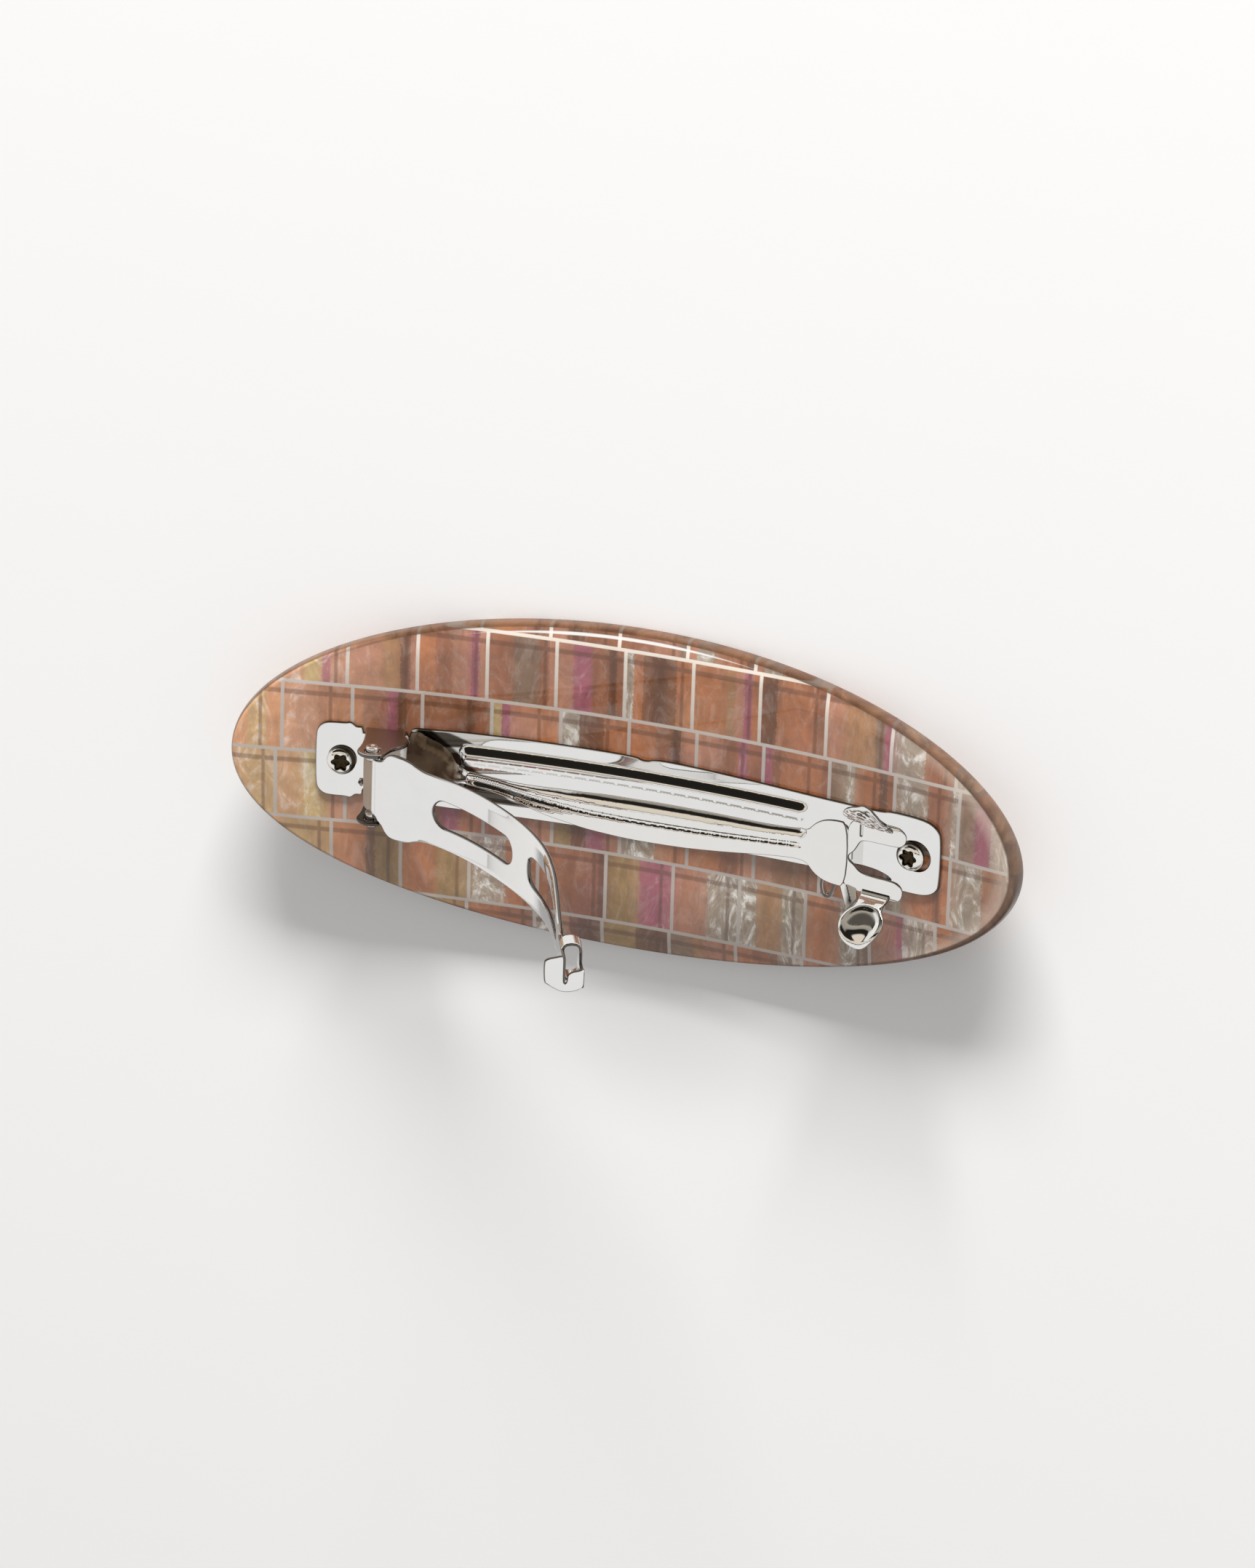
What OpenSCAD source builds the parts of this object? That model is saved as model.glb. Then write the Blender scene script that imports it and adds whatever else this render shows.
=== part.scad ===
// Oval hair barrette: a bent acetate sheet with a folding metal spring clip screwed to its back.
// It lies on its curved front face. X runs along the oval, Y across it, Z up through the clip.

/* [Acetate plate] */
// length of the oval along the bend
plate_l = 100.2; // [80:0.1:120]
// width of the oval
plate_w = 41.9; // [30:0.1:55]
// thickness of the acetate sheet
plate_t = 2.5; // [2:0.1:4]
// bend radius of the back face, along the length only
bend_r = 190; // [140:1:300]
// width of the small flat under the middle of the front, on which it rests
foot_w = 16; // [0:1:24]

/* [Clip base] */
// distance between the two screws, measured along the bend
screw_span = 72.8; // [60:0.1:90]
// length of the clip over both pads
clip_l = 79.6; // [70:0.1:90]
// half of the base's width at the middle
base_hw = 5.2; // [4:0.1:7]
// sheet thickness of the base
base_t = 0.5; // [0.4:0.05:0.8]
// height of the two pressed ribs above the base sheet
rib_h = 0.6; // [0.3:0.05:1]
// clearance between the base and the plate
seat_gap = 0.05; // [0.02:0.01:0.1]

/* [Hinge] */
// hinge axis, distance from the middle of the clip
hinge_x = -30; // [-34:0.1:-26]
// hinge axis, height above the ground
hinge_z = 12; // [9:0.1:14]
// radius of the hinge nubs
nub_r = 0.8; // [0.5:0.05:1.2]
// running clearance of the nubs in the ears
nub_gap = 0.08; // [0.04:0.01:0.1]
// inner distance of the ears from the middle
ear_in = 4.15; // [3.5:0.05:6]
// sheet thickness of the ears
ear_t = 0.6; // [0.4:0.1:1]

/* [Clasp arm] */
// angle of the arm's chord above the base
arm_angle = 45.8; // [0:0.1:90]
// length from the hinge axis to the end of the head
arm_l = 55.2; // [50:0.1:64]
// how far the arm's middle bows towards the base
arm_sag = 7.9; // [4:0.1:8.5]
// sheet thickness of the arm
arm_t = 0.7; // [0.5:0.05:1]
// half width of the two rails
arm_hw = 4.75; // [4:0.05:6]
// width of the long slots
slot_w = 3.5; // [2.5:0.1:4.5]

/* [Tension bow] */
// height of the bow's middle above the plate's back
bow_h = 7; // [5:0.1:9]
// half width of the bow at its middle
bow_hw = 2.5; // [1.5:0.1:3.5]
// sheet thickness of the bow
bow_t = 0.4; // [0.3:0.05:0.6]
// height of the shield and the latch above the plate's back
latch_h = 3.7; // [3:0.1:5]

/* [Latch] */
// angle of the pinch wings above the plate
wing_angle = 54; // [40:1:80]
// length of the pinch wings
wing_l = 7.5; // [5:0.1:10]
// diameter of the round ends of the wings
wing_d = 5.6; // [4:0.1:7]
// middle of the wings along the clip
wing_x = 33.9; // [28:0.1:36]

/* [Screws] */
// diameter of the screw heads
head_d = 3.4; // [3:0.1:5]
// height of the screw heads
head_h = 1.0; // [0.6:0.1:1.6]
// diameter of the screw shanks
shank_d = 1.7; // [1.2:0.1:2.2]

/* [Hidden] */
$fn = 96;
foot_rise = foot_w * foot_w / 8 / (bend_r + plate_t);
axis_z = plate_t + bend_r - foot_rise;
screw_s = screw_span / 2;
ear_out = ear_in + ear_t;
// height of the plate's back face above the ground at a distance from the middle
function back_z(x) = axis_z - sqrt(bend_r * bend_r - x * x);
function lerp(a, b, t) = a + (b - a) * t;
// a value from a table of pairs by straight lines
function table(rows, x, i = 0) =
    i >= len(rows) - 1 ? rows[len(rows) - 1][1] :
    x <= rows[i][0] ? rows[i][1] :
    x < rows[i + 1][0]
        ? lerp(rows[i][1], rows[i + 1][1], (x - rows[i][0]) / (rows[i + 1][0] - rows[i][0]))
        : table(rows, x, i + 1);

// puts children on the back face at a distance along the bend, with their own z pointing away from it
module on_back(s, h = 0) {
    translate([0, 0, axis_z])
        rotate([0, -s / bend_r * 180 / PI, 0])
            translate([0, 0, h - bend_r])
                children();
}
// a strip that follows the bend between two distances, from a section of radius and width
module bent(s0, s1) {
    translate([0, 0, axis_z])
        rotate([0, 0, -90])
            rotate([0, 90, 0])
                rotate([0, 0, s0 / bend_r * 180 / PI])
                    rotate_extrude(angle = (s1 - s0) / bend_r * 180 / PI, $fn = 360)
                        children();
}
// a box section for bent, from heights above the back face and half width
module flat_section(h0, h1, hw) {
    translate([bend_r - h1, -hw])
        square([h1 - h0, 2 * hw]);
}
// a plan outline, mirrored about the middle line, from rows of distance and half width
module outline(rows) {
    polygon(concat(rows, [for (i = [len(rows) - 1:-1:0]) [rows[i][0], -rows[i][1]]]));
}

// one half of the sheet, its wall square to the sheet at the far end
module plate_half(side) {
    end = plate_l / 2;
    turn = end / bend_r * 180 / PI;
    intersection() {
        bent(-end - 2, end + 2)
            flat_section(-plate_t, 0, plate_w / 2 + 1);
        on_back(side * end)
            linear_extrude(height = 40, center = true)
                polygon(concat([[-side * bend_r * sin(turn) - side * 3, plate_w / 2],
                                [-side * bend_r * sin(turn) - side * 3, -plate_w / 2]],
                               [for (i = [-90:3:90])
                                [-side * bend_r * sin(turn * (1 - cos(i))), plate_w / 2 * sin(i)]]));
        translate([side > 0 ? 0 : -60, -30, 0])
            cube([60, 60, 40]);
    }
}
// the oval sheet
module acetate_plate() {
    color([0.62, 0.36, 0.22])
        difference() {
            union() {
                plate_half(-1);
                plate_half(1);
            }
            for (s = [-screw_s, screw_s])
                on_back(s, -plate_t + 0.6)
                    cylinder(h = 4, d = shank_d + 0.2);
        }
}

// half width of the base strip from the left pad to the right one
base_rows = [[-39.6, 1.6], [-39.3, 3.2], [-38.4, 4.3], [-37, 4.85], [-34.9, 4.85], [-34.3, 4.5],
             [-33.4, 4.75], [-28, 4.75], [-27.5, 5.0], [-21, base_hw], [-8, base_hw + 0.05], [0.3, base_hw],
             [1, 4.85], [1.8, 4.85], [2.6, base_hw], [6.4, base_hw], [15.8, 4.85], [24.3, 4.6],
             [32, 4.6], [33.2, 5.0], [36.8, 5.0], [38.2, 4.6], [39.2, 3.8], [39.8, 2.6], [40, 1.4]];
// the outline of an ear in the plane of the side wall: root on the base, top round the nub
module ear_outline() {
    difference() {
        union() {
            polygon([[-33.3, back_z(33.3) + 0.1], [-28.2, back_z(28.2) + 0.1], [-27.6, hinge_z - 1],
                     [-28.3, hinge_z + 0.9], [-29.4, hinge_z + 1.7], [-30.6, hinge_z + 1.7],
                     [-31.5, hinge_z + 0.9], [-32.2, hinge_z - 2]]);
            translate([hinge_x, hinge_z])
                circle(r = 1.8);
        }
        translate([hinge_x, hinge_z])
            circle(r = nub_r + nub_gap);
    }
}
module ear(side) {
    translate([0, side > 0 ? ear_out : -ear_in, 0])
        rotate([90, 0, 0])
            linear_extrude(height = ear_t)
                ear_outline();
}
// a pressed rib with round ends beside the middle line
module rib(side) {
    intersection() {
        bent(-24, 26)
            polygon([for (p = [[1.2, 0], [2.0, rib_h], [3.0, rib_h], [4.2, 0], [4.2, -0.3], [1.2, -0.3]])
                     [bend_r - seat_gap - base_t - p[1], -side * p[0]]]);
        linear_extrude(height = 20)
            translate([1.15, side * 2.7]) {
                square([2 * 20.7, 3.1], center = true);
                for (x = [-20.7, 20.7])
                    translate([x, 0])
                        circle(d = 3.1);
            }
    }
}
module tongue_hole(side) {
    translate([30.6, side * 2.75 - 1.55])
        square([4.9, 3.1]);
    translate([35.5, side * 2.75])
        circle(d = 3.1);
}
module clip_base() {
    color([0.8, 0.8, 0.79]) {
        difference() {
            intersection() {
                bent(-clip_l / 2 - 1, clip_l / 2 + 1)
                    flat_section(seat_gap, seat_gap + base_t, 6);
                linear_extrude(height = 20)
                    difference() {
                        outline(base_rows);
                        for (side = [-1, 1])
                            tongue_hole(side);
                    }
            }
            for (s = [-screw_s, screw_s])
                on_back(s, -1)
                    cylinder(h = 4, d = shank_d + 0.3);
        }
        for (side = [-1, 1]) {
            rib(side);
            ear(side);
        }
    }
}
// the bow's height above the back face, from the wide left end to the shield
bow_rows = [[-27.9, 1.4], [-24.5, 1.35], [-21.6, 1.5], [-15.6, 3.3], [-10.4, 5.1], [-4.4, 6.6],
            [2, bow_h], [8.5, 6.75], [14, 6.1], [18.5, 5.3], [22.6, latch_h + 0.75],
            [25, latch_h + 0.62], [29, latch_h + 0.6]];
// the bow's half width in plan
bow_plan = [[-27.9, 4.9], [-26.6, 4.9], [-25.7, 4.1], [-23.6, 3.4], [-22.3, 2.2], [-21.5, 1.0],
            [-20.4, 0.8], [-14.6, 0.9], [-10.4, 1.4], [-4.4, 2.2], [2, bow_hw], [9, 2.45],
            [14, 2.2], [19, 1.85], [22.8, 1.8], [23.9, 2.2], [24.7, 3.2], [25.8, 3.9],
            [27.2, 4.2], [29, 4.2]];
// the smooth centre line of the bow, a row for each millimetre or so
function bow_z(x) = back_z(x) + (table(bow_rows, x - 1.4) + table(bow_rows, x - 0.7) + table(bow_rows, x)
                    + table(bow_rows, x + 0.7) + table(bow_rows, x + 1.4)) / 5;
bow_n = 40;
function bow_x(i) = lerp(-27.9, 29, i / bow_n);
module bow_side() {
    polygon(concat([for (i = [0:bow_n]) [bow_x(i), bow_z(bow_x(i))]],
                   [for (i = [bow_n:-1:0]) [bow_x(i), bow_z(bow_x(i)) + bow_t]]));
}
module tension_bow() {
    color([0.83, 0.83, 0.82])
        intersection() {
            translate([0, 7, 0])
                rotate([90, 0, 0])
                    linear_extrude(height = 14)
                        bow_side();
            linear_extrude(height = 30)
                outline(bow_plan);
        }
}

// the arm's middle line below its chord: share of the length, share of the sag
arm_rows = [[0, 0], [0.1, 0.23], [0.162, 0.48], [0.234, 0.69], [0.328, 0.87], [0.376, 0.93],
            [0.438, 0.98], [0.505, 1], [0.597, 0.96], [0.676, 0.83], [0.755, 0.64], [0.826, 0.46],
            [0.897, 0.28], [1, 0]];
function arm_dip(u) = table(arm_rows, u / arm_l);
function arm_w(u) = -arm_sag * (arm_dip(u - 1.5) + arm_dip(u) + arm_dip(u + 1.5)) / 3;
arm_n = 34;
function arm_u(i) = lerp(-1.1, arm_l - 0.35, i / arm_n);
// half width of the arm in plan, along its chord
arm_plan = [[-1.2, 3.3], [-0.6, 3.9], [2.3, 3.95], [2.9, 5.0], [3.8, 5.6], [6, 5.5], [7.3, 4.8],
            [8.6, 4.55], [13.6, 4.65], [19, arm_hw], [30, arm_hw], [36, 4.35], [40.5, 3.5], [44.3, 2.5],
            [46.6, 1.9], [49, 1.75], [51, 1.9], [arm_l, 2.1]];
module arm_side() {
    polygon(concat([for (i = [0:arm_n]) [arm_u(i), arm_w(arm_u(i)) - arm_t / 2]],
                   [for (i = [arm_n:-1:0]) [arm_u(i), arm_w(arm_u(i)) + arm_t / 2]]));
}
// the two slots in plan
module arm_slots() {
    translate([12.2, 0])
        circle(d = slot_w);
    translate([12.2, -slot_w / 2])
        square([10.2, slot_w]);
    translate([22.4, 0])
        circle(d = slot_w);
    polygon([[28.2, 0.9], [28.9, 1.65], [30.3, 1.95], [36, 1.9], [40.5, 1.5], [44.3, 0.9], [46.4, 0.3],
             [46.4, -0.3], [44.3, -0.9], [40.5, -1.5], [36, -1.9], [30.3, -1.95], [28.9, -1.65],
             [28.2, -0.9]]);
}
// the catch head: a short open box that looks along the arm, with an end tab turned up
head_turn = 20;
head_l = 5.6;
head_hw = 2.6;
head_low = 2.8;
head_high = 2.4;
head_t = 0.55;
module head_frame() {
    translate([arm_l, 0, 0])
        rotate([0, -head_turn, 0])
            translate([-head_l, 0, 0])
                children();
}
module head_hollow() {
    translate([-1, -0.3, head_t - head_low])
        cube([head_l + 2, head_hw - head_t + 0.3, head_low - head_t - arm_t / 2]);
    translate([-1, head_t - head_hw, head_t - head_low])
        cube([head_l + 1 - head_t, head_hw, head_low - head_t - arm_t / 2]);
}
module arm_head() {
    head_frame()
        difference() {
            union() {
                translate([0, -head_hw, -head_low])
                    cube([head_l, 2 * head_hw, head_low + arm_t / 2]);
                translate([head_l - head_t, 0, -0.3])
                    rotate([0, 90, 0])
                        linear_extrude(height = head_t)
                            polygon([[0, -head_hw], [0, head_hw], [0.7 - head_high, head_hw],
                                     [0 - head_high - 0.3, head_hw - 0.8],
                                     [0 - head_high - 0.3, 0.8 - head_hw], [0.7 - head_high, -head_hw]]);
            }
            head_hollow();
        }
}
module clasp_arm() {
    color([0.85, 0.85, 0.84])
        translate([hinge_x, 0, hinge_z])
            rotate([0, -arm_angle, 0]) {
                difference() {
                    intersection() {
                        translate([0, 8, 0])
                            rotate([90, 0, 0])
                                linear_extrude(height = 16)
                                    arm_side();
                        translate([0, 0, -12])
                            linear_extrude(height = 20)
                                difference() {
                                    outline(arm_plan);
                                    arm_slots();
                                }
                    }
                    head_frame()
                        head_hollow();
                }
                arm_head();
                for (side = [-1, 1])
                    translate([0, side * 4.5, 0])
                        rotate([90, 0, 0])
                            cylinder(h = 1.5, r = nub_r, center = true);
            }
}

// the latch sheet lies level at the shield's height, in the frame of the wings' place on the bend
latch_t = 0.45;
module latch_sheet(h) {
    translate([0, 0, h])
        linear_extrude(height = latch_t)
            children();
}
module wing_plan() {
    translate([wing_l - wing_d / 2, 0])
        circle(d = wing_d);
    polygon([[-0.2, -1.9], [1.6, -1.75], [2.6, -1.85], [3.4, -1.9], [3.4, 1.9], [2.6, 1.85],
             [1.6, 1.75], [-0.2, 1.9]]);
}
module wing(side) {
    translate([-0.2, side * 4.1, latch_h + latch_t / 2])
        rotate([side * wing_angle, 0, 0])
            rotate([0, 0, side * 90])
                translate([0, 0, -0.22])
                    linear_extrude(height = 0.44)
                        wing_plan();
}
// a small bent hook beside the ledge
module curl(side) {
    translate([-5.9, side * 3.7, latch_h - 0.25])
        rotate([side * 50, 0, 0])
            rotate([0, 0, side * 90])
                linear_extrude(height = 0.45, center = true)
                    difference() {
                        union() {
                            translate([0, -0.85])
                                square([2.6, 1.7]);
                            translate([2.6, 0])
                                circle(r = 0.85);
                        }
                        translate([0.8, -0.42])
                            square([1.8, 0.84]);
                        translate([2.6, 0])
                            circle(r = 0.42);
                    }
}
module spring_latch() {
    color([0.82, 0.82, 0.8])
        on_back(wing_x) {
            // cross band and tongues
            latch_sheet(latch_h) {
                translate([-4.3, -4.3])
                    square([2.3, 8.6]);
                for (side = [-1, 1]) {
                    translate([-2.2, side * 2.75 - 1.55])
                        square([4.6, 3.1]);
                    translate([2.4, side * 2.75])
                        circle(d = 3.1);
                }
            }
            // ledge under the shield, with its hooks
            latch_sheet(latch_h - 0.5)
                translate([-8.2, -3.9])
                    square([4.4, 7.8]);
            // riser down to the base
            translate([-4.3, -3.9, seat_gap + base_t + 0.05])
                cube([0.45, 7.8, latch_h - 0.5]);
            for (side = [-1, 1]) {
                wing(side);
                curl(side);
            }
        }
}

module screw(s) {
    on_back(s, seat_gap + base_t + 0.05) {
        difference() {
            union() {
                cylinder(h = head_h * 0.55, d = head_d);
                translate([0, 0, head_h * 0.55])
                    cylinder(h = head_h * 0.45, d1 = head_d, d2 = head_d - 0.9);
            }
            translate([0, 0, head_h - 0.6])
                for (a = [0:60:120])
                    rotate([0, 0, a])
                        cube([1.9, 0.55, 2], center = true);
        }
        translate([0, 0, -2.2])
            cylinder(h = 2.3, d = shank_d);
    }
}
module screw_left() {
    color([0.8, 0.8, 0.78])
        screw(-screw_s);
}
module screw_right() {
    color([0.8, 0.8, 0.78])
        screw(screw_s);
}

acetate_plate();
clip_base();
tension_bow();
clasp_arm();
spring_latch();
screw_left();
screw_right();
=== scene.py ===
import math

import bpy
import numpy as np
from mathutils import Matrix, Vector
from mathutils.geometry import delaunay_2d_cdt


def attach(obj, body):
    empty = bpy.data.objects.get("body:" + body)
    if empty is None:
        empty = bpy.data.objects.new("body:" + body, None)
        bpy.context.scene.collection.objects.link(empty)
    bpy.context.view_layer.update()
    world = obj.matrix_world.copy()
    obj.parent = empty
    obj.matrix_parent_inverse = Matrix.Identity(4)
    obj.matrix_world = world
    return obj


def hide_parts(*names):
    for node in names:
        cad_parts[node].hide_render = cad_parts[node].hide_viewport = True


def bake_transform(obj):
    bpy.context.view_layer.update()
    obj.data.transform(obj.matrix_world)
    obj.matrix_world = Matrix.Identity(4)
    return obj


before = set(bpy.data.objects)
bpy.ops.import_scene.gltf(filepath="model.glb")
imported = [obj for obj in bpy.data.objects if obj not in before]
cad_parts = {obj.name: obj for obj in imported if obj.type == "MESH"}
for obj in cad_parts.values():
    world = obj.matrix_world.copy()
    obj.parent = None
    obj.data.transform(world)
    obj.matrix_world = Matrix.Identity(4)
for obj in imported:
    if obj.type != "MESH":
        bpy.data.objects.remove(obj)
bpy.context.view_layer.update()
print("frame:", ", ".join(sorted(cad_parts)))

mm = 0.001


# helpers for sheet metal: everything is worked in millimetres and made metres at the end
def ease(t):
    t = np.clip(t, 0.0, 1.0)
    return t * t * (3 - 2 * t)


# from 0 to 1 in a straight slope whose two ends are rounded over a share r
def soften(t, r):
    t = np.clip(t, -r, 1 + r)
    low = np.where(t < r, (t + r) ** 2 / (4 * r), t)
    return np.where(t > 1 - r, 1 - (1 + r - t) ** 2 / (4 * r), low)


def hump(t):
    return np.exp(-np.asarray(t, float) ** 2)


def rows(pairs, x):
    p = np.array(pairs, float)
    return np.interp(x, p[:, 0], p[:, 1])


def mirrored(points):
    return points + [(x, -y) for x, y in points[::-1]]


def roundCorners(points, times=2):
    p = np.array(points, float)
    for _ in range(times):
        q = np.roll(p, -1, axis=0)
        p = np.stack([0.75 * p + 0.25 * q, 0.25 * p + 0.75 * q], axis=1).reshape(-1, 2)
    return p


def spacePoints(points, step):
    ring = np.vstack([points, points[:1]])
    run = np.concatenate([[0], np.cumsum(np.hypot(*np.diff(ring, axis=0).T))])
    count = max(8, int(round(run[-1] / step)))
    at = np.arange(count) * run[-1] / count
    return np.stack([np.interp(at, run, ring[:, 0]), np.interp(at, run, ring[:, 1])], axis=1)


def circle(x, y, r, count=40):
    a = np.arange(count) * 2 * math.pi / count
    return np.stack([x + r * np.cos(a), y + r * np.sin(a)], axis=1)


def insideLoops(points, loops):
    inside = np.zeros(len(points), bool)
    x, y = points[:, 0:1], points[:, 1:2]
    for loop in loops:
        a, b = loop, np.roll(loop, -1, axis=0)
        crosses = (a[:, 1] > y) != (b[:, 1] > y)
        run = np.where(b[:, 1] == a[:, 1], 1e-12, b[:, 1] - a[:, 1])
        at = a[:, 0] + (y - a[:, 1]) / run * (b[:, 0] - a[:, 0])
        inside ^= (np.sum(crosses & (x < at), axis=1) % 2).astype(bool)
    return inside


def farFrom(points, others, gap):
    keep = np.ones(len(points), bool)
    for k in range(0, len(points), 1000):
        near = np.linalg.norm(points[k:k + 1000, None] - others[None], axis=2).min(1)
        keep[k:k + 1000] = near > gap
    return keep


# a pressed sheet: a flat blank with holes, carried to its bent place, with rounded edges all round;
# like the two after it, it gives points, faces, the ways they face and how far each point is on a cut edge
def pressSheet(outer, holes, place, thick, edge=0.12, step=0.28, grid=0.42, creases=None, plain=None):
    loops, outward = [], []
    for i, loop in enumerate([outer] + holes):
        loop = spacePoints(np.array(loop, float), step)
        nxt = np.roll(loop, -1, axis=0)
        turns = np.sum(loop[:, 0] * nxt[:, 1] - nxt[:, 0] * loop[:, 1]) > 0
        if turns != (i == 0):
            loop = loop[::-1]
        run = np.roll(loop, -1, axis=0) - np.roll(loop, 1, axis=0)
        run /= np.linalg.norm(run, axis=1)[:, None]
        out = np.stack([run[:, 1], -run[:, 0]], axis=1)
        loops.append(loop - out * edge)
        outward.append(out)
    rim, rimOut = np.vstack(loops), np.vstack(outward)
    low, high = rim.min(0), rim.max(0)
    inner = np.array([(x + (k % 2) * grid / 2, y)
                      for k, y in enumerate(np.arange(low[1], high[1], grid * 0.866))
                      for x in np.arange(low[0], high[0], grid)])
    inner = inner[insideLoops(inner, loops)]
    inner = inner[farFrom(inner, rim, 0.5 * grid)]
    if creases is not None:
        fine = creases[insideLoops(creases, loops)]
        fine = fine[farFrom(fine, rim, 0.3 * grid)]
        inner = np.vstack([inner[farFrom(inner, fine, 0.45 * grid)], fine])
    flat = np.vstack([rim, inner])
    edges, start = [], 0
    for loop in loops:
        n = len(loop)
        edges += [(start + i, start + (i + 1) % n) for i in range(n)]
        start += n
    cut = delaunay_2d_cdt([Vector(p) for p in flat], edges, [], 0, 1e-7)
    came = [o[0] if o else -1 for o in cut[3]]
    faces = np.array([[came[v] for v in f] for f in cut[2] if len(f) == 3])
    faces = faces[(faces >= 0).all(1)]
    faces = faces[insideLoops(flat[faces].mean(1), loops)]

    def facing(put, h=0.012):
        du = (put(flat[:, 0] + h, flat[:, 1]) - put(flat[:, 0] - h, flat[:, 1])) / (2 * h)
        dv = (put(flat[:, 0], flat[:, 1] + h) - put(flat[:, 0], flat[:, 1] - h)) / (2 * h)
        across = np.cross(du, dv)
        return du, dv, across / np.linalg.norm(across, axis=1)[:, None]

    spot = place(flat[:, 0], flat[:, 1])
    du, dv, up = facing(place)
    out = (du[:len(rim)] * rimOut[:, 0:1] + dv[:len(rim)] * rimOut[:, 1:2])
    n = up[:len(rim)]
    out -= n * np.sum(out * n, axis=1)[:, None]
    out /= np.linalg.norm(out, axis=1)[:, None]
    total, count = len(flat), len(rim)
    verts, normals = [spot + up * thick / 2, spot - up * thick / 2], [up, -up]
    if plain is not None:
        # the under side leaves the fine creases out
        below = facing(plain)[2]
        verts[1][count:] = (plain(flat[:, 0], flat[:, 1]) - below * thick / 2)[count:]
        normals[1] = -below
    flatWall = [(-1, 90)] if thick > 2 * edge + 0.02 else []
    bends = [(1, 30), (1, 60), (1, 90)] + flatWall + [(-1, 60), (-1, 30)]
    rings, edgeShare = [np.arange(count)], [np.zeros(2 * total)]
    for side, deg in bends:
        a = math.radians(deg)
        lift = side * (thick / 2 - edge + edge * math.cos(a))
        verts.append(spot[:count] + n * lift + out * edge * math.sin(a))
        normals.append(side * n * math.cos(a) + out * math.sin(a))
        edgeShare.append(np.full(count, math.sin(a)))
        rings.append(np.arange(count) + sum(len(v) for v in verts[:-1]))
    rings.append(np.arange(count) + total)
    quads, start = [], 0
    for loop in loops:
        m = len(loop)
        i = start + np.arange(m)
        j = start + (np.arange(m) + 1) % m
        for a, b in zip(rings[:-1], rings[1:]):
            quads.append(np.stack([a[i], b[i], b[j], a[j]], axis=1))
        start += m
    a, b, c = (spot[faces[:, k]] for k in range(3))
    wrong = np.sum(np.cross(b - a, c - a) * up[faces[:, 0]], axis=1) < 0
    faces[wrong] = faces[wrong][:, ::-1]
    allFaces = [tuple(f) for f in faces] + [tuple(f[::-1] + total) for f in faces]
    allFaces += [tuple(f) for f in np.vstack(quads)]
    return np.vstack(verts), allFaces, np.vstack(normals), np.concatenate(edgeShare)


# a strap: a rounded flat section carried along a path, across is its width direction
def bendStrap(path, across, width, thick, edge=0.1, closed=False):
    p = np.array(path, float)
    if closed:
        run = np.roll(p, -1, axis=0) - np.roll(p, 1, axis=0)
    else:
        run = np.gradient(p, axis=0)
    run /= np.linalg.norm(run, axis=1)[:, None]
    side = np.broadcast_to(np.array(across, float), p.shape).copy()
    side -= run * np.sum(side * run, axis=1)[:, None]
    side /= np.linalg.norm(side, axis=1)[:, None]
    up = np.cross(run, side)
    section = []
    for cx, cy, a0 in ((1, 1, 0), (-1, 1, 90), (-1, -1, 180), (1, -1, 270)):
        for a in (0, 30, 60, 90):
            t = math.radians(a0 + a)
            section.append((cx * (width / 2 - edge) + edge * math.cos(t),
                            cy * (thick / 2 - edge) + edge * math.sin(t), math.cos(t), math.sin(t)))
    section = np.array(section)
    k, n = len(section), len(p)
    wide, high, outWide, outHigh = (section[None, :, i:i + 1] for i in range(4))
    verts = (p[:, None] + side[:, None] * wide + up[:, None] * high).reshape(-1, 3)
    normals = (side[:, None] * outWide + up[:, None] * outHigh).reshape(-1, 3)
    edgeShare = np.tile(np.abs(section[:, 2]), n)
    faces = []
    for i in range(n if closed else n - 1):
        a, b = i * k, ((i + 1) % n) * k
        for j in range(k):
            faces.append((a + j, a + (j + 1) % k, b + (j + 1) % k, b + j))
    if not closed:
        for end, sign in ((0, -1), (n - 1, 1)):
            base = len(verts)
            ring = verts[end * k:(end + 1) * k]
            verts = np.vstack([verts, ring])
            normals = np.vstack([normals, np.repeat(run[end:end + 1] * sign, k, axis=0)])
            edgeShare = np.append(edgeShare, np.ones(k))
            loop = tuple(range(base, base + k))
            faces.append(loop if sign > 0 else loop[::-1])
    a, b, c = verts[faces[0][0]], verts[faces[0][1]], verts[faces[0][2]]
    if np.dot(np.cross(b - a, c - a), normals[faces[0][0]]) < 0:
        faces = [f[::-1] for f in faces]
    return verts, faces, normals, edgeShare


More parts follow.
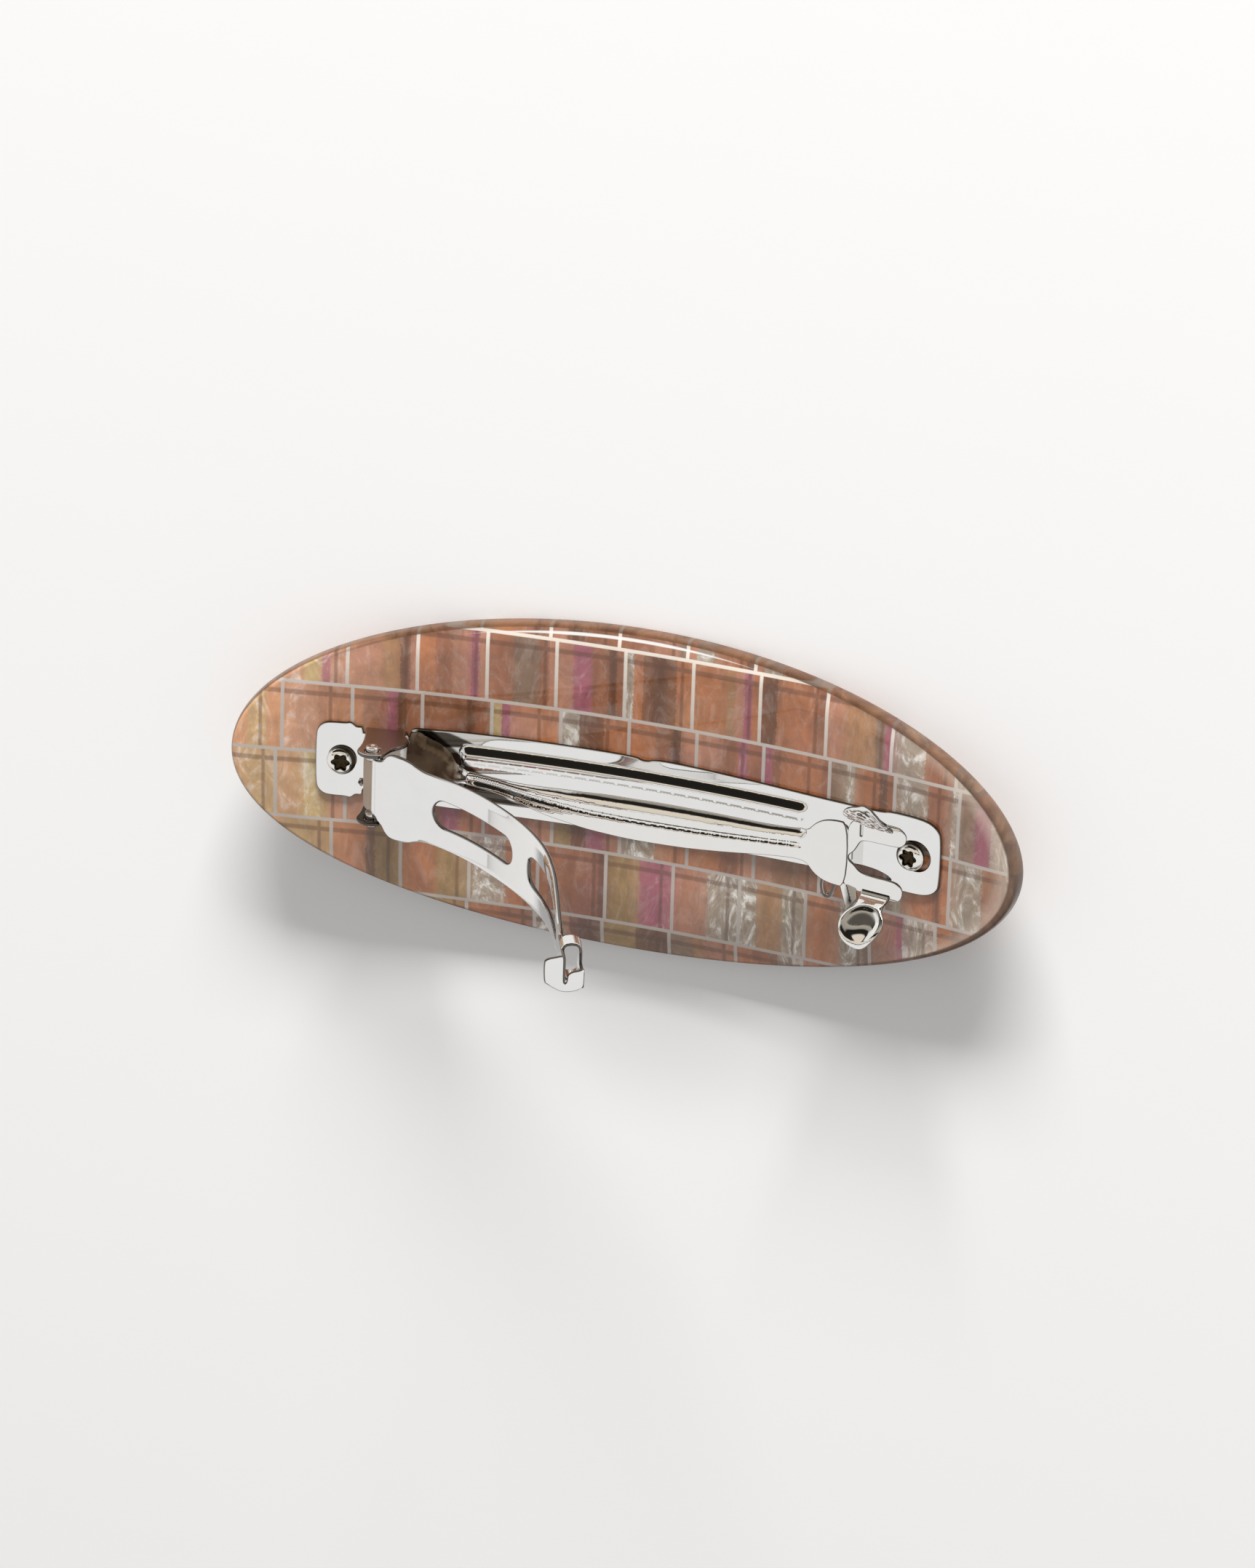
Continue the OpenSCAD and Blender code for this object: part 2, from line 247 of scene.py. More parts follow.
# a small turned part: rows of radius and height about an axis
def turnPart(profile, centre, axis, count=32):
    axis = np.array(axis, float) / np.linalg.norm(axis)
    helper = np.array([0, 0, 1.0]) if abs(axis[2]) < 0.9 else np.array([1.0, 0, 0])
    ex = np.cross(helper, axis)
    ex /= np.linalg.norm(ex)
    ey = np.cross(axis, ex)
    prof = np.array(profile, float)
    slope = np.gradient(prof, axis=0)
    slope /= np.linalg.norm(slope, axis=1)[:, None]
    verts, normals, faces = [], [], []
    for (r, z), (dr, dz) in zip(prof, slope):
        for i in range(count):
            a = 2 * math.pi * i / count
            d = ex * math.cos(a) + ey * math.sin(a)
            verts.append(np.array(centre) + d * r + axis * z)
            normals.append(d * dz - axis * dr)
    for k in range(len(prof) - 1):
        for i in range(count):
            j = (i + 1) % count
            faces.append((k * count + i, k * count + j, (k + 1) * count + j, (k + 1) * count + i))
    faces.append(tuple(range(count))[::-1])
    faces.append(tuple(range((len(prof) - 1) * count, len(prof) * count)))
    return np.array(verts), faces, np.array(normals), np.zeros(len(verts))


def joinParts(name, parts, material):
    verts = np.vstack([p[0] for p in parts]) * mm
    normals = np.vstack([p[2] for p in parts])
    faces, start = [], 0
    for p in parts:
        faces += [tuple(int(v) + start for v in f) for f in p[1]]
        start += len(p[0])
    mesh = bpy.data.meshes.new(name)
    mesh.from_pydata(verts.tolist(), [], faces)
    mesh.polygons.foreach_set("use_smooth", [True] * len(mesh.polygons))
    mesh.normals_split_custom_set_from_vertices(normals.tolist())
    cutEdge = mesh.attributes.new("cutEdge", "FLOAT", "POINT")
    cutEdge.data.foreach_set("value", np.concatenate([p[3] for p in parts]))
    mesh.materials.append(material)
    mesh.update()
    piece = bpy.data.objects.new(name, mesh)
    bpy.context.scene.collection.objects.link(piece)
    print(name, len(mesh.polygons), "faces")
    return piece


# a value on its way through a node tree, so that sums of nodes read like plain sums
class Wire:
    def __init__(self, tree, socket):
        self.tree, self.socket = tree, socket

    def __add__(self, other):
        return calc("ADD", self, other)

    def __sub__(self, other):
        return calc("SUBTRACT", self, other)

    def __rsub__(self, other):
        return calc("SUBTRACT", other, self)

    def __mul__(self, other):
        return calc("MULTIPLY", self, other)

    def __truediv__(self, other):
        return calc("DIVIDE", self, other)

    def __abs__(self):
        return calc("ABSOLUTE", self)

    __radd__, __rmul__ = __add__, __mul__


def feed(tree, socket, value):
    if isinstance(value, Wire):
        tree.links.new(value.socket, socket)
    else:
        socket.default_value = value


def treeOf(values):
    return next(v.tree for v in values if isinstance(v, Wire))


def calc(operation, *values):
    tree = treeOf(values)
    node = tree.nodes.new("ShaderNodeMath")
    node.operation = operation
    for socket, value in zip(node.inputs, values):
        feed(tree, socket, value)
    return Wire(tree, node.outputs[0])


def addNode(tree, kind, inputs):
    node = tree.nodes.new(kind)
    for key, value in inputs.items():
        feed(tree, node.inputs[key], value)
    return Wire(tree, node.outputs[0])


def partsOf(vector, kind="ShaderNodeSeparateXYZ"):
    node = vector.tree.nodes.new(kind)
    feed(vector.tree, node.inputs[0], vector)
    return [Wire(vector.tree, out) for out in node.outputs]


def noiseOf(place, scale, detail=2.0, roughness=0.5, distortion=0.0):
    return addNode(place.tree, "ShaderNodeTexNoise", {
        "Vector": place, "Scale": scale, "Detail": detail, "Roughness": roughness, "Distortion": distortion})


def stretched(place, scale):
    return addNode(place.tree, "ShaderNodeMapping", {"Vector": place, "Scale": scale})


def between(value, low, high, toLow=0.0, toHigh=1.0):
    return addNode(value.tree, "ShaderNodeMapRange", dict(enumerate((value, low, high, toLow, toHigh))))


def blendColour(amount, a, b, way="MIX"):
    tree = treeOf((amount, a, b))
    node = tree.nodes.new("ShaderNodeMix")
    node.data_type = "RGBA"
    node.blend_type = way
    for k, value in zip((0, 6, 7), (amount, a, b)):
        feed(tree, node.inputs[k], value)
    return Wire(tree, node.outputs[2])


def rampOf(value, kind, stops):
    node = value.tree.nodes.new("ShaderNodeValToRGB")
    node.color_ramp.interpolation = kind
    points = node.color_ramp.elements
    while len(points) < len(stops):
        points.new(0.5)
    for point, (at, _) in zip(points, stops):
        point.position = at
    for point, (_, colour) in zip(points, stops):
        point.color = colour
    feed(value.tree, node.inputs[0], value)
    return Wire(value.tree, node.outputs[0])


# a colour as a paint program gives it
def tone(r, g, b):
    def one(v):
        v /= 255
        return v / 12.92 if v < 0.04045 else ((v + 0.055) / 1.055) ** 2.4
    return (one(r), one(g), one(b), 1.0)


def newMaterial(name):
    material = bpy.data.materials.new(name)
    material.use_nodes = True
    tree = material.node_tree
    tree.nodes.clear()
    shader = tree.nodes.new("ShaderNodeBsdfPrincipled")
    tree.links.new(shader.outputs[0], tree.nodes.new("ShaderNodeOutputMaterial").inputs[0])
    coordinates = tree.nodes.new("ShaderNodeTexCoord")
    place, normal = (Wire(tree, coordinates.outputs[key]) for key in ("Object", "Normal"))
    return material, shader, place, normal


def dress(shader, looks):
    for key, value in looks.items():
        feed(shader.id_data, shader.inputs[key], value)


def bumped(height, strength, distance):
    return addNode(height.tree, "ShaderNodeBump", {
        "Height": height, "Strength": strength, "Distance": distance})


# helpers for pieces that grow in Geometry Nodes
def newTree(name, values):
    tree = bpy.data.node_groups.new(name, "GeometryNodeTree")
    tree.interface.new_socket("Geometry", in_out="OUTPUT", socket_type="NodeSocketGeometry")
    keys = {}
    for label, value in values.items():
        socket = tree.interface.new_socket(label, in_out="INPUT", socket_type="NodeSocketFloat")
        socket.default_value = value
        keys[label] = socket.identifier
    inlet = tree.nodes.new("NodeGroupInput")
    return tree, keys, {label: Wire(tree, inlet.outputs[label]) for label in values}


# a flat grid, with the share of the way along each of its sides
def unitGrid(tree, countX, countY):
    grid = addNode(tree, "GeometryNodeMeshGrid", {
        "Size X": 1.0, "Size Y": 1.0, "Vertices X": countX, "Vertices Y": countY})
    x, y, _ = partsOf(Wire(tree, tree.nodes.new("GeometryNodeInputPosition").outputs[0]))
    return grid, x + 0.5, y + 0.5


def placeGrid(grid, x, y, z):
    spot = addNode(grid.tree, "ShaderNodeCombineXYZ", {0: x, 1: y, 2: z})
    moved = addNode(grid.tree, "GeometryNodeSetPosition", {"Geometry": grid, "Position": spot})
    return addNode(grid.tree, "GeometryNodeMergeByDistance", {0: moved, "Distance": 1e-6})


def shapeCurve(value, points):
    node = value.tree.nodes.new("ShaderNodeFloatCurve")
    curve = node.mapping.curves[0]
    while len(curve.points) < len(points):
        curve.points.new(0.5, 0.5)
    for point, spot in zip(curve.points, points):
        point.location = spot
        point.handle_type = "VECTOR"
    node.mapping.update()
    feed(value.tree, node.inputs["Value"], value)
    return Wire(value.tree, node.outputs[0])


def finishTree(geometry, material):
    tree = geometry.tree
    real = addNode(tree, "GeometryNodeRealizeInstances", {0: geometry})
    painted = addNode(tree, "GeometryNodeSetMaterial", {0: real, "Material": material})
    tree.links.new(painted.socket, tree.nodes.new("NodeGroupOutput").inputs[0])


def growPiece(name, tree, keys, values):
    holder = bpy.data.objects.new(name, bpy.data.meshes.new(name))
    bpy.context.scene.collection.objects.link(holder)
    modifier = holder.modifiers.new("shape", "NODES")
    modifier.node_group = tree
    for label, value in values.items():
        modifier[keys[label]] = value
    bpy.context.view_layer.update()
    mesh = bpy.data.meshes.new_from_object(holder.evaluated_get(bpy.context.evaluated_depsgraph_get()))
    mesh.name = name
    holder.modifiers.clear()
    holder.data = mesh
    mesh.polygons.foreach_set("use_smooth", [True] * len(mesh.polygons))
    print(name, len(mesh.polygons), "faces")
    return holder


# the oval acetate sheet
acetate = {
    "length": 100.2, "width": 41.9, "thick": 2.5, "bendRadius": 190.0, "footWidth": 16.0,
    "edgeRound": 0.8, "edgeRoll": 0.32, "edgeFull": 0.62, "rimShare": 0.36, "around": 360, "across": 100,
    "tilePitch": 8.6, "stripsPerTile": 8, "rowPitch": 8.994, "rowStart": 0.589,
    "groutWidth": 0.44, "groutSoft": 0.05, "groutShadowHalf": 0.22, "groutShadowSoft": 0.1, "groutShadowRowShift": 1.35,
    "groutShadowRow": (0.2, 0.42), "groutShadowDark": 0.52,
    "shellGrain": 0.55, "shellCloud": 0.5, "shellBlot": 0.75, "dye": (0.97, 0.91, 0.84),
    "shineReach": 0.952, "wallReach": (0.976, 0.982), "gloss": 0.04,
}
axisZ = (acetate["thick"] + acetate["bendRadius"]
         - acetate["footWidth"] ** 2 / 8 / (acetate["bendRadius"] + acetate["thick"]))


def backZ(x):
    return axisZ - np.sqrt(acetate["bendRadius"] ** 2 - np.asarray(x, float) ** 2)


# strips of the shell tiles from left to right, a row each, one letter for each eighth of a tile;
# under is how far the painted shadow of the grout grid is moved
tileRows = [
    {"shift": -3.58, "under": 1.5, "first": -3,
     "strips": "gggggggg oooorrrr wwttbbbb ggggbbbb kkktpppp oorrrwww pprrrrrr"},
    {"shift": -3.29, "under": 1.5, "first": -6,
     "strips": ("ggggtttt ttgggggg oooobggg oooogggg wwwwoooo orrrrrrb ggggmmmm ppppwwww wwtttwww oooowwwk "
                "pppmwwww oorrrrrr")},
    {"shift": -1.64, "under": 1.5, "first": -6,
     "strips": ("ggttgggg tttyygpp pppprrrr rrrmmooo rrrrrppp ggbbmmpp wwwwoooo oooorrpp pprrrrrr rrooorrr "
                "kwooooro wwwwrrrw rrrrwwww")},
    {"shift": -0.85, "under": 2.7, "first": -6,
     "strips": ("ggooggoo pppprooo orrrmbrr rrrrrbrr ympppooo wwbbbooo ooorrbpp ppprrmrr mrooooor kkwooobr "
                "wwwwrrrw kkmmwwww")},
    {"shift": -1.55, "under": 1.4, "first": -6,
     "strips": ("ttttpppp pppyympp ppppttbp oorrppmp rrrkkkrp ppmmrrbr wobbbboo ooootpmo bbooooor ppttttkm "
                "wwwwrrrr wwwwrrrr")},
    {"shift": -2.42, "under": 1.8, "first": -3,
     "strips": "oogggggg goooorrr ppbbrrrr rrrrpppk pwwoooob pwwooooo"},
]
shellTones = {
    "o": tone(167, 110, 76), "r": tone(141, 93, 69), "b": tone(106, 70, 50), "p": tone(168, 120, 98),
    "m": tone(150, 88, 104), "g": tone(152, 124, 84), "y": tone(166, 146, 102), "t": tone(162, 121, 87),
    "w": tone(166, 155, 143), "k": tone(130, 106, 88),
}


# one colour ramp holds up to 28 strips; a row takes as many ramps as it needs
def stripRamps(place, row, perRamp=28):
    pitch = acetate["tilePitch"] / acetate["stripsPerTile"]
    letters = row["strips"].replace(" ", "")
    begin = row["shift"] + acetate["tilePitch"] * row["first"]
    runs = []
    for i, letter in enumerate(letters):
        if not runs or runs[-1][1] != letter or i % acetate["stripsPerTile"] == 0:
            runs.append([i, letter])
    colour = None
    for k in range(0, len(runs), perRamp):
        part = runs[k:k + perRamp]
        first = part[0][0]
        last = runs[k + perRamp][0] if k + perRamp < len(runs) else len(letters)
        span = between(place, begin + first * pitch, begin + last * pitch)
        ends = [i for i, _ in part[1:]] + [last]
        shades = [0.92 + 0.14 * ((i * 7) % 5) / 4 for i, _ in part]
        colours = [(*[v * shade * w for v, w in zip(shellTones[letter], acetate["dye"])], 1)
                   for shade, (_, letter) in zip(shades, part)]
        # half of the colour changes at the strip's edge, half fades from middle to middle
        edges = [(i - first) / (last - first) for i, _ in part]
        middles = [((i + end) / 2 - first) / (last - first) for (i, _), end in zip(part, ends)]
        here = blendColour(0.45, rampOf(span, "CONSTANT", list(zip(edges, colours))),
                           rampOf(span, "EASE", list(zip(middles, colours))))
        if colour is None:
            colour = here
        else:
            colour = blendColour(calc("GREATER_THAN", place, begin + first * pitch), colour, here)
    return colour


# joints across a row: distance to the nearest one
def jointMask(along, half, soft):
    near = calc("PINGPONG", along, acetate["tilePitch"] / 2)
    return between(near, half - soft, half + soft, 1.0, 0.0)


def makeAcetate():
    material, shader, where, _ = newMaterial("shell tile acetate")
    x, t, z = (part * 1000.0 for part in partsOf(where))
    s = calc("ARCTAN2", x, axisZ - z) * acetate["bendRadius"]
    drift = noiseOf(where, 140.0, 2.0)
    fuzz = noiseOf(stretched(where, (5200, 2600, 2600)), 1.0, 3.0, 0.7)
    sWavy = s + ((drift - 0.5) * 0.25 + (fuzz - 0.5) * 0.9)
    colour = None
    half, soft = acetate["groutWidth"] / 2, acetate["groutSoft"]
    for k, row in enumerate(tileRows):
        inRow = calc("GREATER_THAN", t, acetate["rowStart"] + acetate["rowPitch"] * (k - 3))
        here = stripRamps(sWavy, row)
        joint = jointMask(s - row["shift"], half, soft)
        # painted shadow of the grout joints, moved aside by the row's under
        under = jointMask(s - row["shift"] + row["under"], acetate["groutShadowHalf"], acetate["groutShadowSoft"])
        if colour is None:
            colour, groutMask, groutShadowMask = here, joint, under
        else:
            colour = blendColour(inRow, colour, here)
            groutMask = inRow * joint + (1.0 - inRow) * groutMask
            groutShadowMask = inRow * under + (1.0 - inRow) * groutShadowMask
    fromRow = t - acetate["rowStart"]
    nearRow = calc("PINGPONG", fromRow, acetate["rowPitch"] / 2)
    groutMask = calc("MAXIMUM", groutMask, between(nearRow, half - soft, half + soft, 1.0, 0.0))
    # painted shadow of the row lines, a little below them
    nearGroutShadow = calc("PINGPONG", fromRow + acetate["groutShadowRowShift"], acetate["rowPitch"] / 2)
    groutShadowMask = calc("MAXIMUM", groutShadowMask, between(nearGroutShadow, *acetate["groutShadowRow"], 1.0, 0.0))
    # lengthwise grain, clouds and blots in the shell
    grain = noiseOf(stretched(where, (900, 160, 300)), 1.0, 4.0, 0.6, 0.4)
    cloud = noiseOf(stretched(where, (260, 200, 200)), 1.0, 5.0, 0.62, 1.2)
    blot = noiseOf(stretched(where, (430, 330, 300)), 1.0, 3.0, 0.55, 0.8)
    light = (grain - 0.5) * acetate["shellGrain"] + (cloud - 0.5) * acetate["shellCloud"]
    level = (1.0 + light) + (blot - 0.5) * acetate["shellBlot"]
    # the sheet glows a little towards its left end, where light comes through
    level = level * (1.0 + between(s, -30.0, -47.0, 0.0, 0.5))
    colour = blendColour(between(s, -28.0, -48.0, 0.0, 0.35), colour, tone(176, 150, 118))
    bright = addNode(level.tree, "ShaderNodeCombineColor", {0: level, 1: level, 2: level})
    colour = blendColour(1.0, colour, bright, "MULTIPLY")
    # faint green and violet sheen patches
    patch = noiseOf(stretched(where, (70, 90, 90)), 1.0, 2.0)
    colour = blendColour(between(patch, 0.6, 0.8, 0.0, 0.14), colour, tone(150, 170, 130))
    colour = blendColour(between(patch, 0.42, 0.25, 0.0, 0.14), colour, tone(190, 120, 150))
    # pearl flecks and dimples, strongest on the pale strips
    isPale = between(partsOf(colour, "ShaderNodeSeparateColor")[2], 0.13, 0.24)
    flecks = noiseOf(stretched(where, (330, 150, 220)), 1.0, 6.0, 0.7, 2.6)
    colour = blendColour(between(flecks, 0.5, 0.63) * (isPale * 0.8 + 0.08), colour, tone(234, 231, 225))
    colour = blendColour(between(flecks, 0.49, 0.38) * isPale * 0.6, colour, tone(116, 92, 76))
    # painted shadow of the grout grid, laid on as a darker brown
    colour = blendColour(groutShadowMask * acetate["groutShadowDark"], colour, tone(88, 54, 36))
    grout = blendColour(between(t, 8.0, 19.0), tone(178, 168, 160), tone(232, 222, 208))
    colour = blendColour(groutMask * 0.93, colour, grout)
    # light caught along the bevel: a thin line at the upper edge, a soft glow at the right end
    alongShare, wideShare = (calc("POWER", abs(way / (acetate[size] / 2)), 2.0)
                             for way, size in ((s, "length"), (t, "width")))
    reach = calc("SQRT", alongShare + wideShare)
    lineHalf = between(abs(s + 3.0), 6.0, 21.0, 0.009, -0.004)
    fromLine = abs(reach - acetate["shineReach"])
    shine = between(fromLine - lineHalf, -0.003, 0.003, 1.0, 0.0) * calc("GREATER_THAN", t, 0.0)
    colour = blendColour(shine * 0.9, colour, tone(238, 236, 232))
    glow = between(reach, 0.93, 0.965) * between(s, 30.0, 44.0)
    colour = blendColour(glow * 0.35, colour, tone(226, 208, 190))
    # the cut wall is darker, see-through brown; on the upper right the dark reaches onto the rounded edge
    surface = level.tree.nodes.new("ShaderNodeNewGeometry")
    flatness = abs(partsOf(Wire(level.tree, surface.outputs["True Normal"]))[2])
    upperRight = between(t + s * 0.45, -8.0, 4.0)
    steep = calc("MAXIMUM", between(flatness, 0.9, 0.6), upperRight * between(reach, *acetate["wallReach"]))
    wallTone = blendColour(between(cloud, 0.35, 0.65), tone(72, 48, 34), tone(110, 79, 57))
    wallTone = blendColour(groutMask * 0.6, wallTone, tone(62, 42, 30))
    dress(shader, {
        "Base Color": blendColour(steep * 0.9, colour, wallTone),
        "Roughness": between(grain, 0.2, 0.8, 0.26, 0.42),
        "IOR": 1.49, "Specular IOR Level": 0.2, "Coat Weight": between(steep, 0.0, 1.0, 1.0, 0.35),
        "Coat Roughness": acetate["gloss"], "Coat IOR": 1.5, "Normal": bumped(cloud, 0.12, 0.0004)})
    return material


# the sheet grows from a grid: one way round the oval, the other from the back's middle over the rim
def plateTree(material):
    tree, keys, value = newTree("bent oval", {
        "Length": 0.1, "Width": 0.042, "Thickness": 0.0025, "Bend radius": 0.19, "Bend axis": 0.19,
        "Edge round": 0.001, "Edge roll": 0.0003})
    grid, around, v = unitGrid(tree, acetate["around"] + 1, acetate["across"] + 1)
    angle = around * (-2 * math.pi)
    rim, full = acetate["rimShare"], acetate["edgeFull"]
    reach = calc("MINIMUM", between(v, 0.0, rim), between(v, 1.0, 1 - rim))
    turn = between(v, rim, 1 - rim, math.pi / 2, -math.pi / 2)
    outShare = calc("POWER", calc("MAXIMUM", calc("COSINE", turn), 0.0), full)
    sine = calc("SINE", turn)
    upShare = calc("SIGN", sine) * calc("POWER", abs(sine), full)
    halfLong, halfWide = value["Length"] * 0.5, value["Width"] * 0.5
    c, s = calc("COSINE", angle), calc("SINE", angle)
    nx, ny = halfWide * c, halfLong * s
    size = calc("SQRT", nx * nx + ny * ny)
    push = value["Edge round"] * (outShare - 1.0)
    along = reach * (halfLong * c + push * (nx / size))
    wide = reach * (halfWide * s + push * (ny / size))
    middle = value["Thickness"] * 0.5
    near = between(reach, 0.88, 1.0)
    roll = near * near * (value["Edge roll"] * calc("MAXIMUM", upShare, 0.0))
    radius = value["Bend radius"] + middle + roll - middle * upShare
    bend = along / value["Bend radius"]
    pz = calc("MAXIMUM", value["Bend axis"] - radius * calc("COSINE", bend), 0.0)
    finishTree(placeGrid(grid, radius * calc("SINE", bend), wide, pz), material)
    return tree, keys


tree, keys = plateTree(makeAcetate())
acetatePlate = growPiece("acetatePlate", tree, keys, {
    "Length": acetate["length"] * mm, "Width": acetate["width"] * mm, "Thickness": acetate["thick"] * mm,
    "Bend radius": acetate["bendRadius"] * mm, "Bend axis": axisZ * mm,
    "Edge round": acetate["edgeRound"] * mm, "Edge roll": acetate["edgeRoll"] * mm})
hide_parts("acetate_plate")
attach(acetatePlate, "barrette")


# plated metal: it mirrors the studio, apart from places that are dull or dark
plating = {
    "tone": (0.86, 0.855, 0.845), "roughLow": 0.02, "roughHigh": 0.05, "dullRough": 0.3, "ripple": 0.003,
    "darkenedShare": (0.54, 0.48, 0.43), "edgeDark": 0.88, "reflectionDarkShare": 0.94, "darkTone": tone(58, 49, 38),
    "bowEndX": -0.0205, "recessShadeTop": 0.0071,
}


# each steel has a place where it is duller and painted darker: spot is in metres, facing is the way the
# surface looks
def farEarFace(spot, facing):
    # painted reflection: this face of the ear is painted darker and warmer, for the brown acetate it mirrors
    return between(facing[1], 0.93, 0.985)


def bowEnd(spot, facing):
    # painted reflection: the bow's wide end is painted dark brown, for the arm's underside and tiles it
    # mirrors
    return between(spot[0], plating["bowEndX"], plating["bowEndX"] - 0.0015)


def screwRecess(spot, facing):
    # painted shade: the low places of a screw are painted dark
    return between(spot[2], plating["recessShadeTop"], plating["recessShadeTop"] - 0.0002)


def hingeBar(spot, facing):
    turn = math.radians(armShape["angle"])
    along = ((spot[0] - clip["hingeX"] * mm) * math.cos(turn)
             + (spot[2] - clip["hingeZ"] * mm) * math.sin(turn))
    return between(along, 0.0008, 0.0006) * between(abs(spot[1]), 0.0039, 0.0036)


# painted reflection: the base is painted dark where the bow's wide end covers it, and on its near ear
def darkReflectionsOnBase(spot):
    x, y, z = spot
    darkCrescent = (between(x + y * 1.33, -0.0181, -0.0187)
               * (between(x, -0.0272, -0.0268) * between(y, -0.0038, -0.003)))
    nearEar = between(y, -0.0028, -0.0032) * between(z, 0.0078, 0.0086)
    return calc("MAXIMUM", darkCrescent, nearEar)


def makePlated(name, dullAndDarkAt, darkenedTones=None, darkAt=None, warm=0.0, rough=0.0, under=0.0):
    material, shader, where, normal = newMaterial(name)
    spot, facing = partsOf(where), partsOf(normal)
    smudge = noiseOf(where, 320.0, 4.0, 0.6)
    scratch = noiseOf(stretched(where, (300, 4200, 4200)), 1.0, 3.0, 0.6)
    worn = between(smudge * 0.6 + scratch * 0.4, 0.35, 0.65,
                   plating["roughLow"] + rough, plating["roughHigh"] + rough)
    dullAndDark = dullAndDarkAt(spot, facing)
    # the under sides of the springs are satin
    satin = between(facing[2], -0.2, -0.5)
    # the cut edges of the sheet are darker than its faces
    cutEdge = where.tree.nodes.new("ShaderNodeAttribute")
    cutEdge.attribute_name = "cutEdge"
    dark = between(Wire(where.tree, cutEdge.outputs["Fac"]), 0.3, 0.75, 0.0, plating["edgeDark"])
    # painted reflection: darkAt gives places painted dark for dark things the metal mirrors
    if darkAt:
        dark = calc("MAXIMUM", dark, darkAt(spot) * plating["reflectionDarkShare"])
    r, g, b = plating["tone"]
    fresh, smudged = (r, g * (1 - 0.02 * warm), b * (1 - 0.06 * warm), 1), (r * 0.93, g * 0.91, b * 0.87, 1)
    clean = blendColour(between(smudge, 0.4, 0.75, 0.0, 0.25), fresh, smudged)
    first, second = darkenedTones or [(*np.multiply(plating["tone"], plating["darkenedShare"]).tolist(), 1)] * 2
    darkenedTone = blendColour(between(smudge, 0.34, 0.66), first, second)
    dress(shader, {
        "Base Color": blendColour(dark, blendColour(dullAndDark, clean, darkenedTone), plating["darkTone"]),
        "Roughness": worn + calc("MAXIMUM", dullAndDark * plating["dullRough"], satin * under),
        "Metallic": 1.0, "Normal": bumped(smudge, plating["ripple"], 0.0003)})
    return material


platedSteel = makePlated("plated steel", farEarFace, darkAt=darkReflectionsOnBase)
# the bow end's two browns are its painted reflection
springSteel = makePlated("spring steel", bowEnd, (tone(88, 69, 56), tone(132, 117, 98)),
                         warm=0.4, rough=0.005, under=0.3)
# painted shade: one dark tone in the screw's recess
screwSteel = makePlated("screw steel", screwRecess, [tone(64, 54, 40)] * 2, warm=0.8, rough=0.03)


# clip base: one blank with the two ears folded up
clip = {
    "thick": 0.5, "seatGap": 0.05, "screwSpan": 72.8, "screwHole": 1.15,
    "ribHeight": 0.85, "ribFrom": -20.6, "ribTo": 21.7, "ribCrest": 2.45, "ribOuter": 1.05, "ribInner": 0.65,
    "ribDrop": 0.27, "crown": 0.3, "halfWidth": 5.2,
    "foldLine": 3.75, "foldRadius": 0.7, "earFrom": -33.3, "earTo": -28.1,
    "hingeX": -30.0, "hingeZ": 12.0, "nubHole": 0.88,
}
baseMid = clip["seatGap"] + clip["thick"] / 2


def screwPlace(s):
    return acetate["bendRadius"] * math.sin(s / acetate["bendRadius"])


def basePlace(x, y):
    x, y = np.asarray(x, float), np.asarray(y, float)
    side, dist = np.sign(y), np.abs(y)
    z = backZ(x) + baseMid
    # pressed ribs: steep outer flanks, gentle inner ones, round ends
    over = np.maximum(np.maximum(clip["ribFrom"] - x, x - clip["ribTo"]), 0)
    outwards = dist - clip["ribCrest"]
    off = np.hypot(over / 0.9, np.maximum(outwards / clip["ribOuter"], 0))
    rib = (clip["ribHeight"] * (1 - soften(off, 0.28))
           - clip["ribDrop"] * soften((-outwards - 0.45) / clip["ribInner"], 0.2) * ease((1.2 - over) / 1.2))
    # a slight crown across the strip, and a nick in the left pad's edge
    crown = clip["crown"] * (1 - (dist / clip["halfWidth"]) ** 2) * ease((29 - np.abs(x)) / 5)
    nick = 0.3 * hump(np.hypot((x + 34.2) / 0.5, (y + 2.9) / 0.8))
    z = z + rib + crown + nick
    bow = np.clip((dist - clip["foldLine"]) / clip["foldRadius"], 0, math.pi / 2)
    besideEar = (x > clip["earFrom"] - 0.12) & (x < clip["earTo"] + 0.05)
    onEar = (besideEar | (dist > clip["halfWidth"] + 0.5)) & (dist > clip["foldLine"])
    rise = np.maximum(dist - clip["foldLine"] - clip["foldRadius"] * math.pi / 2, 0)
    yFold = clip["foldLine"] + clip["foldRadius"] * np.sin(bow)
    zFold = z + clip["foldRadius"] * (1 - np.cos(bow)) + rise
    return np.stack([x, np.where(onEar, side * yFold, y), np.where(onEar, zFold, z)], axis=1)


def unrolled(x, z):
    return (clip["foldLine"] + clip["foldRadius"] * (math.pi / 2 - 1)
            + z - float(backZ(x)) - baseMid)


